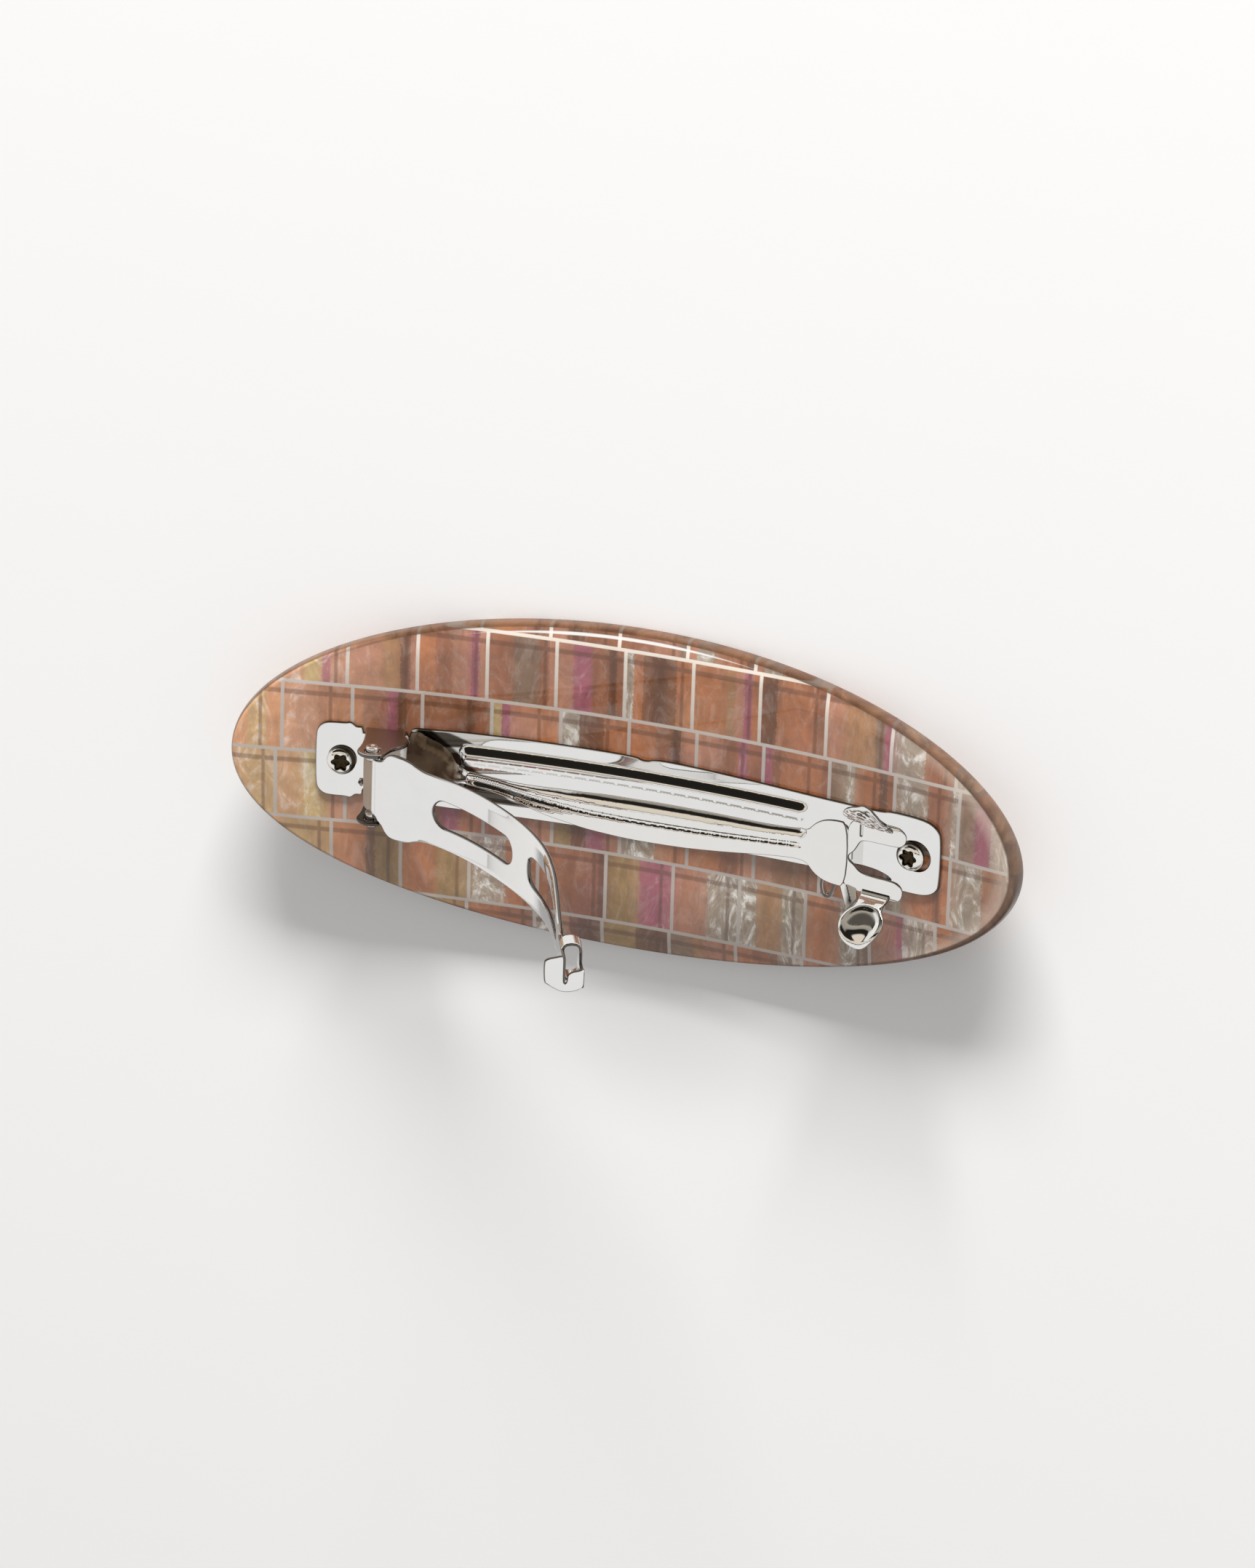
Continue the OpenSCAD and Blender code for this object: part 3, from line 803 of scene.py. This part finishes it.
def baseBlank():
    hx, hz = clip["hingeX"], clip["hingeZ"]
    left = [(-39.3, 3.2), (-38.95, 4.2), (-38.2, 4.8), (-37.2, 4.9), (-35.6, 4.9), (-35.2, 5.05),
            (-34.8, 4.9), (-34.5, 4.55), (-34.1, 4.5), (-33.62, 4.55), (-33.55, 3.7), (-33.35, 3.62)]
    ear = [(-33.1, 6.2), (-32.6, 7.6), (-32.0, hz - 2), (-31.85, hz - 0.6)]
    ear += [(hx + 1.9 * math.cos(a), hz + 1.8 * math.sin(a)) for a in np.linspace(math.pi * 0.95, 0.05, 9)]
    ear += [(-27.9, hz - 1.2), (-26.8, hz - 2.4), (-26.6, hz - 3.8), (-27.4, 7.0), (-28.1, 6.36)]
    right = [(-28.1, 3.62), (-27.95, 3.6), (-27.85, 4.6), (-27.4, 5.0), (-26, 5.02), (-21, 5.2), (-8, 5.25),
             (0.3, 5.2), (0.9, 4.87), (1.9, 4.87), (2.6, 5.2), (6.4, 5.2), (15.8, 4.85), (24.3, 4.6),
             (32, 4.6), (33.2, 5.0), (36.9, 5.0), (38.4, 4.75), (39.4, 4.1), (39.9, 3.1)]
    return roundCorners(mirrored(left + [(x, unrolled(x, z)) for x, z in ear] + right))


baseHoles = []
for s, r, off in ((-clip["screwSpan"] / 2, clip["screwHole"], 0), (clip["screwSpan"] / 2, 1.85, 0.5)):
    baseHoles.append(circle(screwPlace(s) + off, 0, r))
lowHole = [(25.0, -2.9), (31.0, -2.95), (33.0, -3.4), (33.8, -3.9), (33.2, -4.2), (31.5, -4.3), (25.0, -4.3)]
baseHoles.append(roundCorners(lowHole))
for side in (-1, 1):
    middle = unrolled(clip["hingeX"], clip["hingeZ"])
    baseHoles.append(circle(clip["hingeX"], side * middle, clip["nubHole"]))

# fine points along the ribs
ribSteps = (-1.35, -1.1, -0.95, -0.6, -0.45, -0.3, -0.15, 0, 0.15, 0.3, 0.5, 0.7, 0.9, 1.05, 1.2, 1.35)
ribLines = np.array([(x, side * (clip["ribCrest"] + d))
                     for x in np.arange(-20.5, 22.8, 0.45) for side in (-1, 1) for d in ribSteps])
clipBase = joinParts("clipBase", [pressSheet(baseBlank(), baseHoles, basePlace, clip["thick"],
                                             edge=0.22, step=0.25, grid=0.36, creases=ribLines)], platedSteel)
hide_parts("clip_base")
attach(clipBase, "barrette")


# clasp arm: its places are given along its chord, across it and above it
armShape = {
    "angle": 45.8, "length": 55.2, "sag": 7.9, "thick": 0.6, "edgeRoll": 0.2,
    "slotFrom": 11.2, "slotTo": 22.4, "slotHalf": 1.75, "headTurn": 20.0, "headLength": 5.6, "headWall": 0.42,
}
armDipRows = [(0, 0), (0.1, 0.23), (0.162, 0.48), (0.234, 0.69), (0.328, 0.87), (0.376, 0.93), (0.438, 0.98),
              (0.505, 1), (0.597, 0.96), (0.676, 0.83), (0.755, 0.64), (0.826, 0.46), (0.897, 0.28), (1, 0)]
armPlan = [(-2.2, 3.2), (-1.8, 3.7), (2.3, 3.95), (2.9, 5.0), (3.8, 5.6), (6, 5.5), (7.3, 4.8),
           (8.6, 4.55), (13.6, 4.65), (19, 4.75), (30, 4.75), (36, 4.35), (40.5, 3.5), (44.3, 2.5),
           (46.6, 1.9), (49, 1.75), (50.4, 1.9)]
turnAngle = math.radians(armShape["angle"])
chordWay = np.array([math.cos(turnAngle), 0, math.sin(turnAngle)])
chordUp = np.array([-math.sin(turnAngle), 0, math.cos(turnAngle)])
hingeAt = np.array([clip["hingeX"], 0, clip["hingeZ"]])


def fromChord(u, y, w):
    u, y, w = (np.asarray(v, float)[..., None] for v in np.broadcast_arrays(u, y, w))
    return hingeAt + chordWay * u + chordUp * w + np.array([0, 1.0, 0]) * y


armCurve = np.polyfit(*np.array(armDipRows).T, 7)


def armSag(u):
    share = np.clip(np.asarray(u, float) / armShape["length"], 0, 1)
    return -armShape["sag"] * np.polyval(armCurve, share)


def armPlace(u, y):
    w = armSag(u)
    # the rails are rolled a little downwards at their outer edges
    half = rows(armPlan, u)
    w = w - armShape["edgeRoll"] * ease((np.abs(y) - half + 0.7) / 0.7) * ease((u - 4) / 4)
    return fromChord(u, y, w)


def headPlace(u, y, w):
    turn = math.radians(armShape["headTurn"])
    u, y, w = np.broadcast_arrays(np.asarray(u, float), np.asarray(y, float), np.asarray(w, float))
    back = u - armShape["headLength"]
    return fromChord(armShape["length"] + back * math.cos(turn) - w * math.sin(turn), y,
                     back * math.sin(turn) + w * math.cos(turn))


slotOne = [(at + armShape["slotHalf"] * math.cos(a), armShape["slotHalf"] * math.sin(a))
           for at, first, last in ((armShape["slotFrom"], 270, 90), (armShape["slotTo"], 90, -90))
           for a in np.radians(np.linspace(first, last, 16))]
slotTwo = roundCorners(mirrored([(28.2, 0.9), (28.9, 1.65), (30.3, 1.95), (36, 1.9), (40.5, 1.5),
                                 (44.3, 0.9), (46.4, 0.3)]))
armParts = [pressSheet(roundCorners(mirrored(armPlan)), [slotOne, slotTwo], armPlace, armShape["thick"],
                       edge=0.29, step=0.25, grid=0.42)]


# a bent wire or strap path, with its corners rounded to a radius
def cornered(points, radius, closed=True, steps=5):
    p = [np.array(q, float) for q in points]
    out = []
    n = len(p)
    for i in range(n):
        if not closed and i in (0, n - 1):
            out.append(p[i])
            continue
        a, b, c = p[i - 1], p[i], p[(i + 1) % n]
        da, dc = (a - b) / np.linalg.norm(a - b), (c - b) / np.linalg.norm(c - b)
        r = min(radius, 0.49 * np.linalg.norm(a - b), 0.49 * np.linalg.norm(c - b))
        for t in np.linspace(0, 1, steps):
            out.append(b + da * r * (1 - t) ** 2 + dc * r * t ** 2)
    return np.array(out)


# the head: the arm's end goes straight on, with a loop and a strap under it and a turned-up end plate
wall = armShape["headWall"]
headEnd = armShape["headLength"]
acrossHead = headPlace(1.0, 0, 0) - headPlace(0.0, 0, 0)
loopPath = cornered([(-2.1, 0.1), (2.35, 0.1), (2.35, -2.05), (-2.1, -2.05)], 1.0)
armParts.append(bendStrap(headPlace(2.0, loopPath[:, 0], loopPath[:, 1]), acrossHead, 2.4, wall,
                          edge=0.2, closed=True))
for start, y, w, width in ((-0.6, 0.0, 0.1, 3.7), (0.8, -1.05, -2.05, 2.1)):
    strapPath = headPlace(np.linspace(start, headEnd - 0.2, 8), y, w)
    armParts.append(bendStrap(strapPath, (0, 1, 0), width, wall, edge=0.2))


def tabPlace(y, w):
    return headPlace(headEnd - 0.25 + 0.2 * ease((w - 1.6) / 0.8) - 0.2 * ease((-w - 1.6) / 0.8), y, w)


tabBlank = roundCorners([
    (1.75, 2.2), (1.9, 1.2), (2.1, 0.3), (1.9, 0.1), (0.0, 0.1), (-1.35, 0.1), (-1.5, -0.1), (-1.2, -0.3),
    (-0.35, -0.35), (0.05, -0.9), (0.15, -1.6), (0.35, -2.1), (0.2, -2.35), (-1.8, -2.3), (-2.3, -1.8),
    (-2.6, -0.6), (-2.5, 0.4), (-2.0, 1.3), (-1.45, 2.1), (-1.1, 2.4), (1.4, 2.45)])
armParts.append(pressSheet(tabBlank, [], tabPlace, wall, edge=0.2, step=0.2, grid=0.3))

# the hinge nubs, pressed out of the arm's side walls
for side in (-1, 1):
    armParts.append(turnPart([(0.5, 3.4), (0.78, 3.45), (0.8, 3.6), (0.8, 5.0), (0.74, 5.16), (0.6, 5.25),
                              (0.25, 5.25), (0.18, 5.1)], hingeAt, (0, side, 0), 28))

claspArm = joinParts("claspArm", armParts, makePlated("clasp steel", hingeBar))
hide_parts("clasp_arm")
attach(claspArm, "arm")


# tension bow: heights are above the plate's back
bowShape = {"thick": 0.4, "rollWidth": 1.3, "creaseShare": 0.03, "stripFrom": -21.0, "stripTo": 24.2}
bowHeights = [(-27.9, 1.4), (-24.5, 1.35), (-21.6, 1.5), (-15.6, 3.3), (-10.4, 5.1), (-4.4, 6.6), (2, 7.0),
              (8.5, 6.75), (14, 6.1), (18.5, 5.3), (22.6, 4.45), (25, 4.32), (29, 4.3)]
bowPlan = [(-27.9, 4.9), (-26.6, 4.9), (-25.7, 4.1), (-23.6, 3.4), (-22.3, 2.2), (-21.5, 1.0),
           (-20.4, 0.8), (-14.6, 0.9), (-10.4, 1.4), (-4.4, 2.2), (2, 2.5), (9, 2.45), (14, 2.2),
           (19, 1.85), (22.8, 1.8), (23.9, 2.2), (24.7, 3.2), (25.8, 3.9), (27.2, 4.2), (29, 4.2)]
# how far the rolled edge has fallen, from its start to the rim
rollAt = np.linspace(0, 1, 81)
rollFall = np.cumsum(np.interp(rollAt, [0, 0.05, 0.42, 0.66, 1], [0.2, 0.45, 0.62, 0.94, 1.3])) / 81


def bowPlace(x, y, creased=True):
    x, y = np.asarray(x, float), np.asarray(y, float)
    total = 0
    for d in (-1.4, -0.7, 0, 0.7, 1.4):
        total = total + rows(bowHeights, x + d)
    z = backZ(x) + total / 5 + bowShape["thick"] / 2
    half = rows(bowPlan, x)
    strip = ease((x - bowShape["stripFrom"]) / 2.5) * ease((bowShape["stripTo"] - x) / 2.5)
    ends = ease((x + 27.6) / 1.2) * ease((bowShape["stripTo"] - x) / 1.5)
    # the upper edge rolls down, steeper and steeper
    reach = np.minimum(bowShape["rollWidth"], 0.5 * half)
    z = z - ends * reach * np.interp(1 - (half - y) / reach, rollAt, rollFall)
    if not creased:
        return np.stack([x, y, z], axis=1)
    # a crease along the middle: down, a narrow floor, and up again; it opens towards the neck
    opens = ease((-1.0 - x) / 15.0)
    second = ease((-5.0 - x) / 4.0)
    d = y - bowShape["creaseShare"] * half
    wide = 0.3 + 0.25 * opens
    z = z - strip * 0.15 * soften((0.36 - d) / 0.24, 0.15)
    z = z + strip * (0.24 + 0.2 * opens) * soften((-0.2 - d) / wide, 0.15)
    z = z + strip * 0.3 * second * soften((-0.3 - wide - d) / (0.4 * second + 0.02), 0.2)
    # the neck is crumpled where the wide left end begins
    swirl = np.hypot((x + 21.4) / 1.3, (y - 0.6) / 1.0)
    z = z - 0.4 * hump(swirl / 0.8) + 0.12 * hump((swirl - 1.15) / 0.35)
    # and again, finer, where the strip meets the shield
    z = z + 0.1 * np.sin((x - 21) * 3.6) * hump((x - 22.4) / 0.9) * hump((y + 0.5) / 0.8)
    return np.stack([x, y, z], axis=1)


# fine points along the crease and the rolled edge
creaseSteps = (-1.1, -0.9, -0.7, -0.54, -0.46, -0.35, -0.24, -0.16, 0, 0.09, 0.16, 0.24, 0.32, 0.4)
rollSteps = (1.4, 1.25, 1.1, 0.9, 0.7, 0.5)
bowLines = np.array([(x, bowShape["creaseShare"] * rows(bowPlan, x) + d)
                     for x in np.arange(-20.6, 24.0, 0.35) for d in creaseSteps]
                    + [(x, rows(bowPlan, x) - d) for x in np.arange(-19, 24.0, 0.35) for d in rollSteps])
bowSheet = pressSheet(roundCorners(mirrored(bowPlan)), [], bowPlace, bowShape["thick"], edge=0.16, step=0.2,
                      grid=0.27, creases=bowLines, plain=lambda x, y: bowPlace(x, y, False))
tensionBow = joinParts("tensionBow", [bowSheet], springSteel)
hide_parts("tension_bow")
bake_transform(tensionBow)
# the polished base under the bow and the latch shows plain white, so neither is mirrored in it
tensionBow.visible_glossy = False


# spring latch: its places are given along the base, across it and above the plate's back
latch = {
    "along": 33.9, "thick": 0.45, "height": 3.7, "ledgeDrop": 0.5,
    "wingAngle": 54.0, "wingMiddle": 4.7, "wingRound": 2.8, "wingThick": 0.42, "hookWidth": 0.9,
}
latchTilt = latch["along"] / acetate["bendRadius"]
latchX = np.array([math.cos(latchTilt), 0, math.sin(latchTilt)])
latchUp = np.array([-math.sin(latchTilt), 0, math.cos(latchTilt)])
latchAt = np.array([acetate["bendRadius"] * math.sin(latchTilt), 0,
                    axisZ - acetate["bendRadius"] * math.cos(latchTilt)])


def onLatch(x, y, h):
    x, y, h = (np.asarray(v, float)[..., None] for v in np.broadcast_arrays(x, y, h))
    return latchAt + latchX * x + np.array([0, 1.0, 0]) * y + latchUp * h


def tongueSheet(x, y):
    mid = latch["height"] + latch["thick"] / 2
    dist = np.abs(y)
    # the free ends and the outer edges are rolled down a little
    drop = 0.3 * np.clip((x - 2.4) / 0.9, 0, None) ** 2 + 0.3 * np.clip((dist - 4.2) / 0.6, 0, None) ** 2
    inner = 0.16 * np.clip((2.55 - dist) / 0.5, 0, None) ** 2 * ease((x + 2.4) / 0.8)
    return onLatch(x, y, mid - drop - np.minimum(inner, 0.4))


tongueBlank = roundCorners([
    (-4.3, 4.3), (-2.4, 4.7), (2.0, 4.9), (2.9, 4.6), (3.35, 3.9), (3.3, 3.1), (2.9, 2.5), (2.2, 2.3),
    (-2.0, 2.2), (-2.6, 1.9), (-3.1, 0.9), (-3.5, 0.3), (-4.05, -0.15), (-4.1, -0.75), (-3.3, -1.2),
    (-2.6, -1.9), (-1.5, -2.2), (2.0, -2.15), (2.8, -2.5), (3.2, -3.2), (3.1, -4.2), (2.7, -4.7),
    (2.0, -4.85), (-3.6, -4.7), (-4.5, -4.2), (-4.7, -3.0), (-4.55, -1.5), (-4.3, 0.5)])
slit = [(-2.62, 2.7), (-2.36, 2.7), (-2.36, 4.3), (-2.62, 4.3)]
latchParts = [pressSheet(tongueBlank, [slit], tongueSheet, latch["thick"], edge=0.2, step=0.18, grid=0.3)]


def ledgePlace(x, y):
    return onLatch(x, y, latch["height"] - latch["ledgeDrop"] + latch["thick"] / 2)


ledge = roundCorners([(-8.2, -3.4), (-8.2, 3.4), (-3.85, 3.7), (-3.85, -3.7)])
latchParts.append(pressSheet(ledge, [], ledgePlace, latch["thick"], edge=0.15, step=0.25, grid=0.5))
riser = onLatch(-4.07, 0.0, np.linspace(0.62, 3.6, 8))
latchParts.append(bendStrap(riser, (0, 1, 0), 7.0, latch["wingThick"], edge=0.12))


def wingSheet(side):
    lean = math.radians(latch["wingAngle"])

    def place(l, c):
        # l runs out along the wing, c across it; the sheet first bends down from the tongue sheet
        rise = latch["height"] + latch["thick"] / 2
        beyond = np.clip(l - 4.9 - 0.25 * np.sin(c * 1.6), 0, None)
        dish = 0.17 * beyond ** 2 - 0.14 * hump((np.hypot(l - latch["wingMiddle"], c) - 2.4) / 0.4)
        wave = 0.12 * np.sin(l * 2.2) * ease((3.2 - l) / 2)
        wave = wave + (0.035 * np.sin(l * 5) * np.sin(c * 5) if side > 0 else 0)
        out = 4.1 + l * math.cos(lean) + (dish + wave) * math.sin(lean)
        up = rise + l * math.sin(lean) - (dish + wave) * math.cos(lean)
        return onLatch(-0.2 - c, side * out, up)
    return place


for side in (-1, 1):
    neck = [(-0.3, -2.0), (0.6, -1.85), (1.6, -1.7), (2.4, -1.75)]
    disc = [(latch["wingMiddle"] + latch["wingRound"] * math.cos(a), latch["wingRound"] * math.sin(a))
            for a in np.linspace(-2.35, 2.35, 18)]
    blank = roundCorners(neck + disc + [(l, -c) for l, c in neck[::-1]], 1)
    latchParts.append(pressSheet(blank, [], wingSheet(side), latch["wingThick"],
                                 edge=0.16, step=0.22, grid=0.25))
    if side > 0:
        continue
    # a small wire-like hook beside the ledge
    hook = cornered([(-7.4, side * 3.5), (-7.75, side * 5.2), (-7.3, side * 6.5), (-6.5, side * 6.4),
                     (-6.1, side * 5.2), (-5.6, side * 4.0)], 0.8, closed=False, steps=6)
    latchParts.append(bendStrap(onLatch(hook[:, 0], hook[:, 1], latch["height"] - 0.3), latchUp,
                                latch["hookWidth"], latch["wingThick"], edge=0.2))
    # a folded gusset between the ledge and the wing's shoulder
    corners = np.array([(-5.4, side * 4.0, 3.6), (-3.0, side * 4.1, 3.75), (-2.2, side * 5.1, 4.9),
                        (-2.9, side * 6.4, 6.2)])

    def gusset(a, b, corners=corners):
        a, b = a[..., None], b[..., None]
        at = (corners[0] * (1 - a) * (1 - b) + corners[1] * a * (1 - b) + corners[2] * a * b
              + corners[3] * (1 - a) * b)
        fold = 0.35 * (1 - np.abs(a - 0.5) * 2) * (1 - b)
        return onLatch(at[..., 0], at[..., 1], at[..., 2] + fold[..., 0])
    latchParts.append(pressSheet([(0, 0), (1, 0), (1, 1), (0, 1)], [], gusset, 0.4,
                                 edge=0.05, step=0.06, grid=0.09))

springLatch = joinParts("springLatch", latchParts, springSteel)
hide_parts("spring_latch")
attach(springLatch, "barrette")
springLatch.visible_glossy = False


# screws with a six-lobed recess
screwShape = {
    "head": 3.6, "height": 0.95, "lobe": 1.02, "lobeDepth": 0.17, "lobes": 6,
    "shank": 1.7, "shankLength": 2.2, "around": 72, "across": 40,
}


def screwTree(material):
    tree, keys, value = newTree("lobed screw", {
        "Head radius": 0.0017, "Head height": 0.001, "Recess radius": 0.001, "Lobe share": 0.16,
        "Shank radius": 0.00085, "Shank length": 0.0022, "Place X": 0.0, "Place Z": 0.0, "Tilt": 0.0})
    grid, around, v = unitGrid(tree, screwShape["around"] + 1, screwShape["across"] + 1)
    angle = around * (2 * math.pi)
    lobe = value["Recess radius"] * (1.0 + value["Lobe share"] * calc("COSINE", angle * screwShape["lobes"]))
    # shares of the recess radius and of the head radius, and the height, from the middle outwards
    lobePart = shapeCurve(v, [(0, 0), (0.2, 0.9), (0.25, 1.0), (0.3, 1.0), (0.34, 0.6), (0.4, 0.0), (1, 0)])
    headPart = shapeCurve(v, [(0, 0), (0.3, 0.0), (0.34, 0.26), (0.4, 0.68), (0.5, 0.8), (0.6, 0.92),
                              (0.7, 1.0), (0.8, 0.99), (0.88, 0.5), (0.9, 0.5), (1, 0.0)])
    height = shapeCurve(v, [(0, 0.3), (0.1, 0.38), (0.2, 0.52), (0.25, 0.56), (0.3, 0.95), (0.34, 1.0),
                            (0.4, 0.98), (0.5, 0.88), (0.6, 0.74), (0.7, 0.55), (0.8, 0.3), (0.88, 0.3),
                            (0.9, 0.02), (1, 0.0)])
    radius = lobePart * lobe + headPart * value["Head radius"]
    # heights under 0.3 belong to the shank
    shank = between(height, 0.3, 0.0) * value["Shank length"]
    head = between(height, 0.3, 1.0) * value["Head height"]
    turned = placeGrid(grid, radius * calc("COSINE", angle), radius * calc("SINE", angle), head - shank)
    spot = addNode(tree, "ShaderNodeCombineXYZ", {0: value["Place X"], 2: value["Place Z"]})
    lean = addNode(tree, "ShaderNodeCombineXYZ", {1: value["Tilt"]})
    seated = addNode(tree, "GeometryNodeTransform", {0: turned, "Translation": spot, "Rotation": lean})
    finishTree(seated, material)
    return tree, keys


tree, keys = screwTree(screwSteel)
for name, node, s in (("screwLeft", "screw_left", -clip["screwSpan"] / 2),
                      ("screwRight", "screw_right", clip["screwSpan"] / 2)):
    lean = s / acetate["bendRadius"]
    lift = acetate["bendRadius"] - (clip["seatGap"] + clip["thick"] + 0.05)
    piece = growPiece(name, tree, keys, {
        "Head radius": screwShape["head"] / 2 * mm, "Head height": screwShape["height"] * mm,
        "Recess radius": screwShape["lobe"] * mm, "Lobe share": screwShape["lobeDepth"],
        "Shank radius": screwShape["shank"] / 2 * mm, "Shank length": screwShape["shankLength"] * mm,
        "Place X": lift * math.sin(lean) * mm, "Place Z": (axisZ - lift * math.cos(lean)) * mm,
        "Tilt": -lean})
    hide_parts(node)
    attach(piece, "barrette")


# floor, light and camera
studio = {
    "floorSize": 6.0, "floorTone": tone(247, 246, 245), "floorGrain": tone(240, 238, 235),
    "lampPower": 60.0, "lampAt": (0.1, 1.75, 0.56), "lampSize": (0.95, 0.35),
    "skyLevel": 0.46, "endTone": (0.86, 0.855, 0.85, 1),
    # degrees from straight up towards +Y, brightness, warmth
    "bands": [(-180, 0.3, 1), (-112, 0.3, 1), (-106, 0.1, 1), (-85, 0.08, 1), (-80, 0.16, 1),
              (-76, 0.34, 0.6), (-68, 0.42, 0.6), (-64, 0.86, 0), (12, 0.86, 0), (14, 0.12, 1),
              (18, 0.12, 1), (22, 0.76, 1), (38, 0.8, 1), (43, 0.02, 1), (61, 0.015, 1), (66, 0.34, 0.9),
              (80, 0.42, 0.9), (85, 0.05, 1), (91, 0.05, 1), (96, 0.6, 0), (180, 0.6, 0)],
    "cameraLens": 166.98, "cameraAt": (0.24748, 0.36504, 0.75782),
    "cameraRight": (0.9456, 0.0278, -0.3242), "cameraUp": (-0.1589, 0.9089, -0.3855),
    "cameraBack": (0.284, 0.4161, 0.8639),
}


def makeFloor():
    bpy.ops.mesh.primitive_plane_add(size=studio["floorSize"], location=(0, 0, 0))
    floor = bpy.context.object
    floor.name = "paleFloor"
    material, shader, where, _ = newMaterial("pale table")
    grain = between(noiseOf(where, 60.0, 2.0), 0.3, 0.7, 0.0, 0.03)
    dress(shader, {"Base Color": blendColour(grain, studio["floorTone"], studio["floorGrain"]),
                   "Roughness": 0.6, "Specular IOR Level": 0.2})
    floor.data.materials.append(material)


# the metal mirrors bands of light, and everything else is lit by an even sky
def makeSky():
    world = bpy.data.worlds.new("studio tent")
    bpy.context.scene.world = world
    world.use_nodes = True
    tree = world.node_tree
    tree.nodes.clear()
    glow = tree.nodes.new("ShaderNodeBackground")
    tree.links.new(glow.outputs[0], tree.nodes.new("ShaderNodeOutputWorld").inputs[0])
    x, y, z = partsOf(Wire(tree, tree.nodes.new("ShaderNodeTexCoord").outputs["Generated"]))
    bands = rampOf(between(calc("ARCTAN2", y, z), -math.pi, math.pi), "LINEAR", [
        ((deg + 180) / 360, (level, level * (1 - 0.1 * warm), level * (1 - 0.24 * warm), 1))
        for deg, level, warm in studio["bands"]])
    aside = abs(x)
    ends = calc("MAXIMUM", between(aside, 0.76, 0.88), between(aside, 0.56, 0.68) * between(z, 0.45, 0.32))
    isMirror = Wire(tree, tree.nodes.new("ShaderNodeLightPath").outputs["Is Glossy Ray"])
    level = studio["skyLevel"]
    even = (level, level * 0.995, level * 0.99, 1)
    feed(tree, glow.inputs[0], blendColour(isMirror, even, blendColour(ends, bands, studio["endTone"])))
    glow.inputs[1].default_value = 1.0


def softLamp(name, at, size, power):
    lamp = bpy.data.lights.new(name, "AREA")
    lamp.shape = "RECTANGLE"
    lamp.size, lamp.size_y = size
    lamp.energy = power
    holder = bpy.data.objects.new(name, lamp)
    bpy.context.scene.collection.objects.link(holder)
    holder.location = at
    # it shines at the middle of the floor
    holder.rotation_euler = (-Vector(at)).to_track_quat("-Z", "Y").to_euler()
    holder.visible_glossy = False


makeFloor()
makeSky()
softLamp("windowLamp", studio["lampAt"], studio["lampSize"], studio["lampPower"])

cameraData = bpy.data.cameras.new("photoCamera")
cameraData.sensor_fit = "VERTICAL"
cameraData.sensor_height = 36.0
cameraData.lens = studio["cameraLens"]
cameraData.clip_start = 0.05
camera = bpy.data.objects.new("photoCamera", cameraData)
bpy.context.scene.collection.objects.link(camera)
ways = Matrix((studio["cameraRight"], studio["cameraUp"], studio["cameraBack"])).transposed()
camera.matrix_world = Matrix.Translation(studio["cameraAt"]) @ ways.to_4x4()
bpy.context.scene.camera = camera
bpy.context.scene.view_settings.view_transform = "Standard"
print("studio ready")
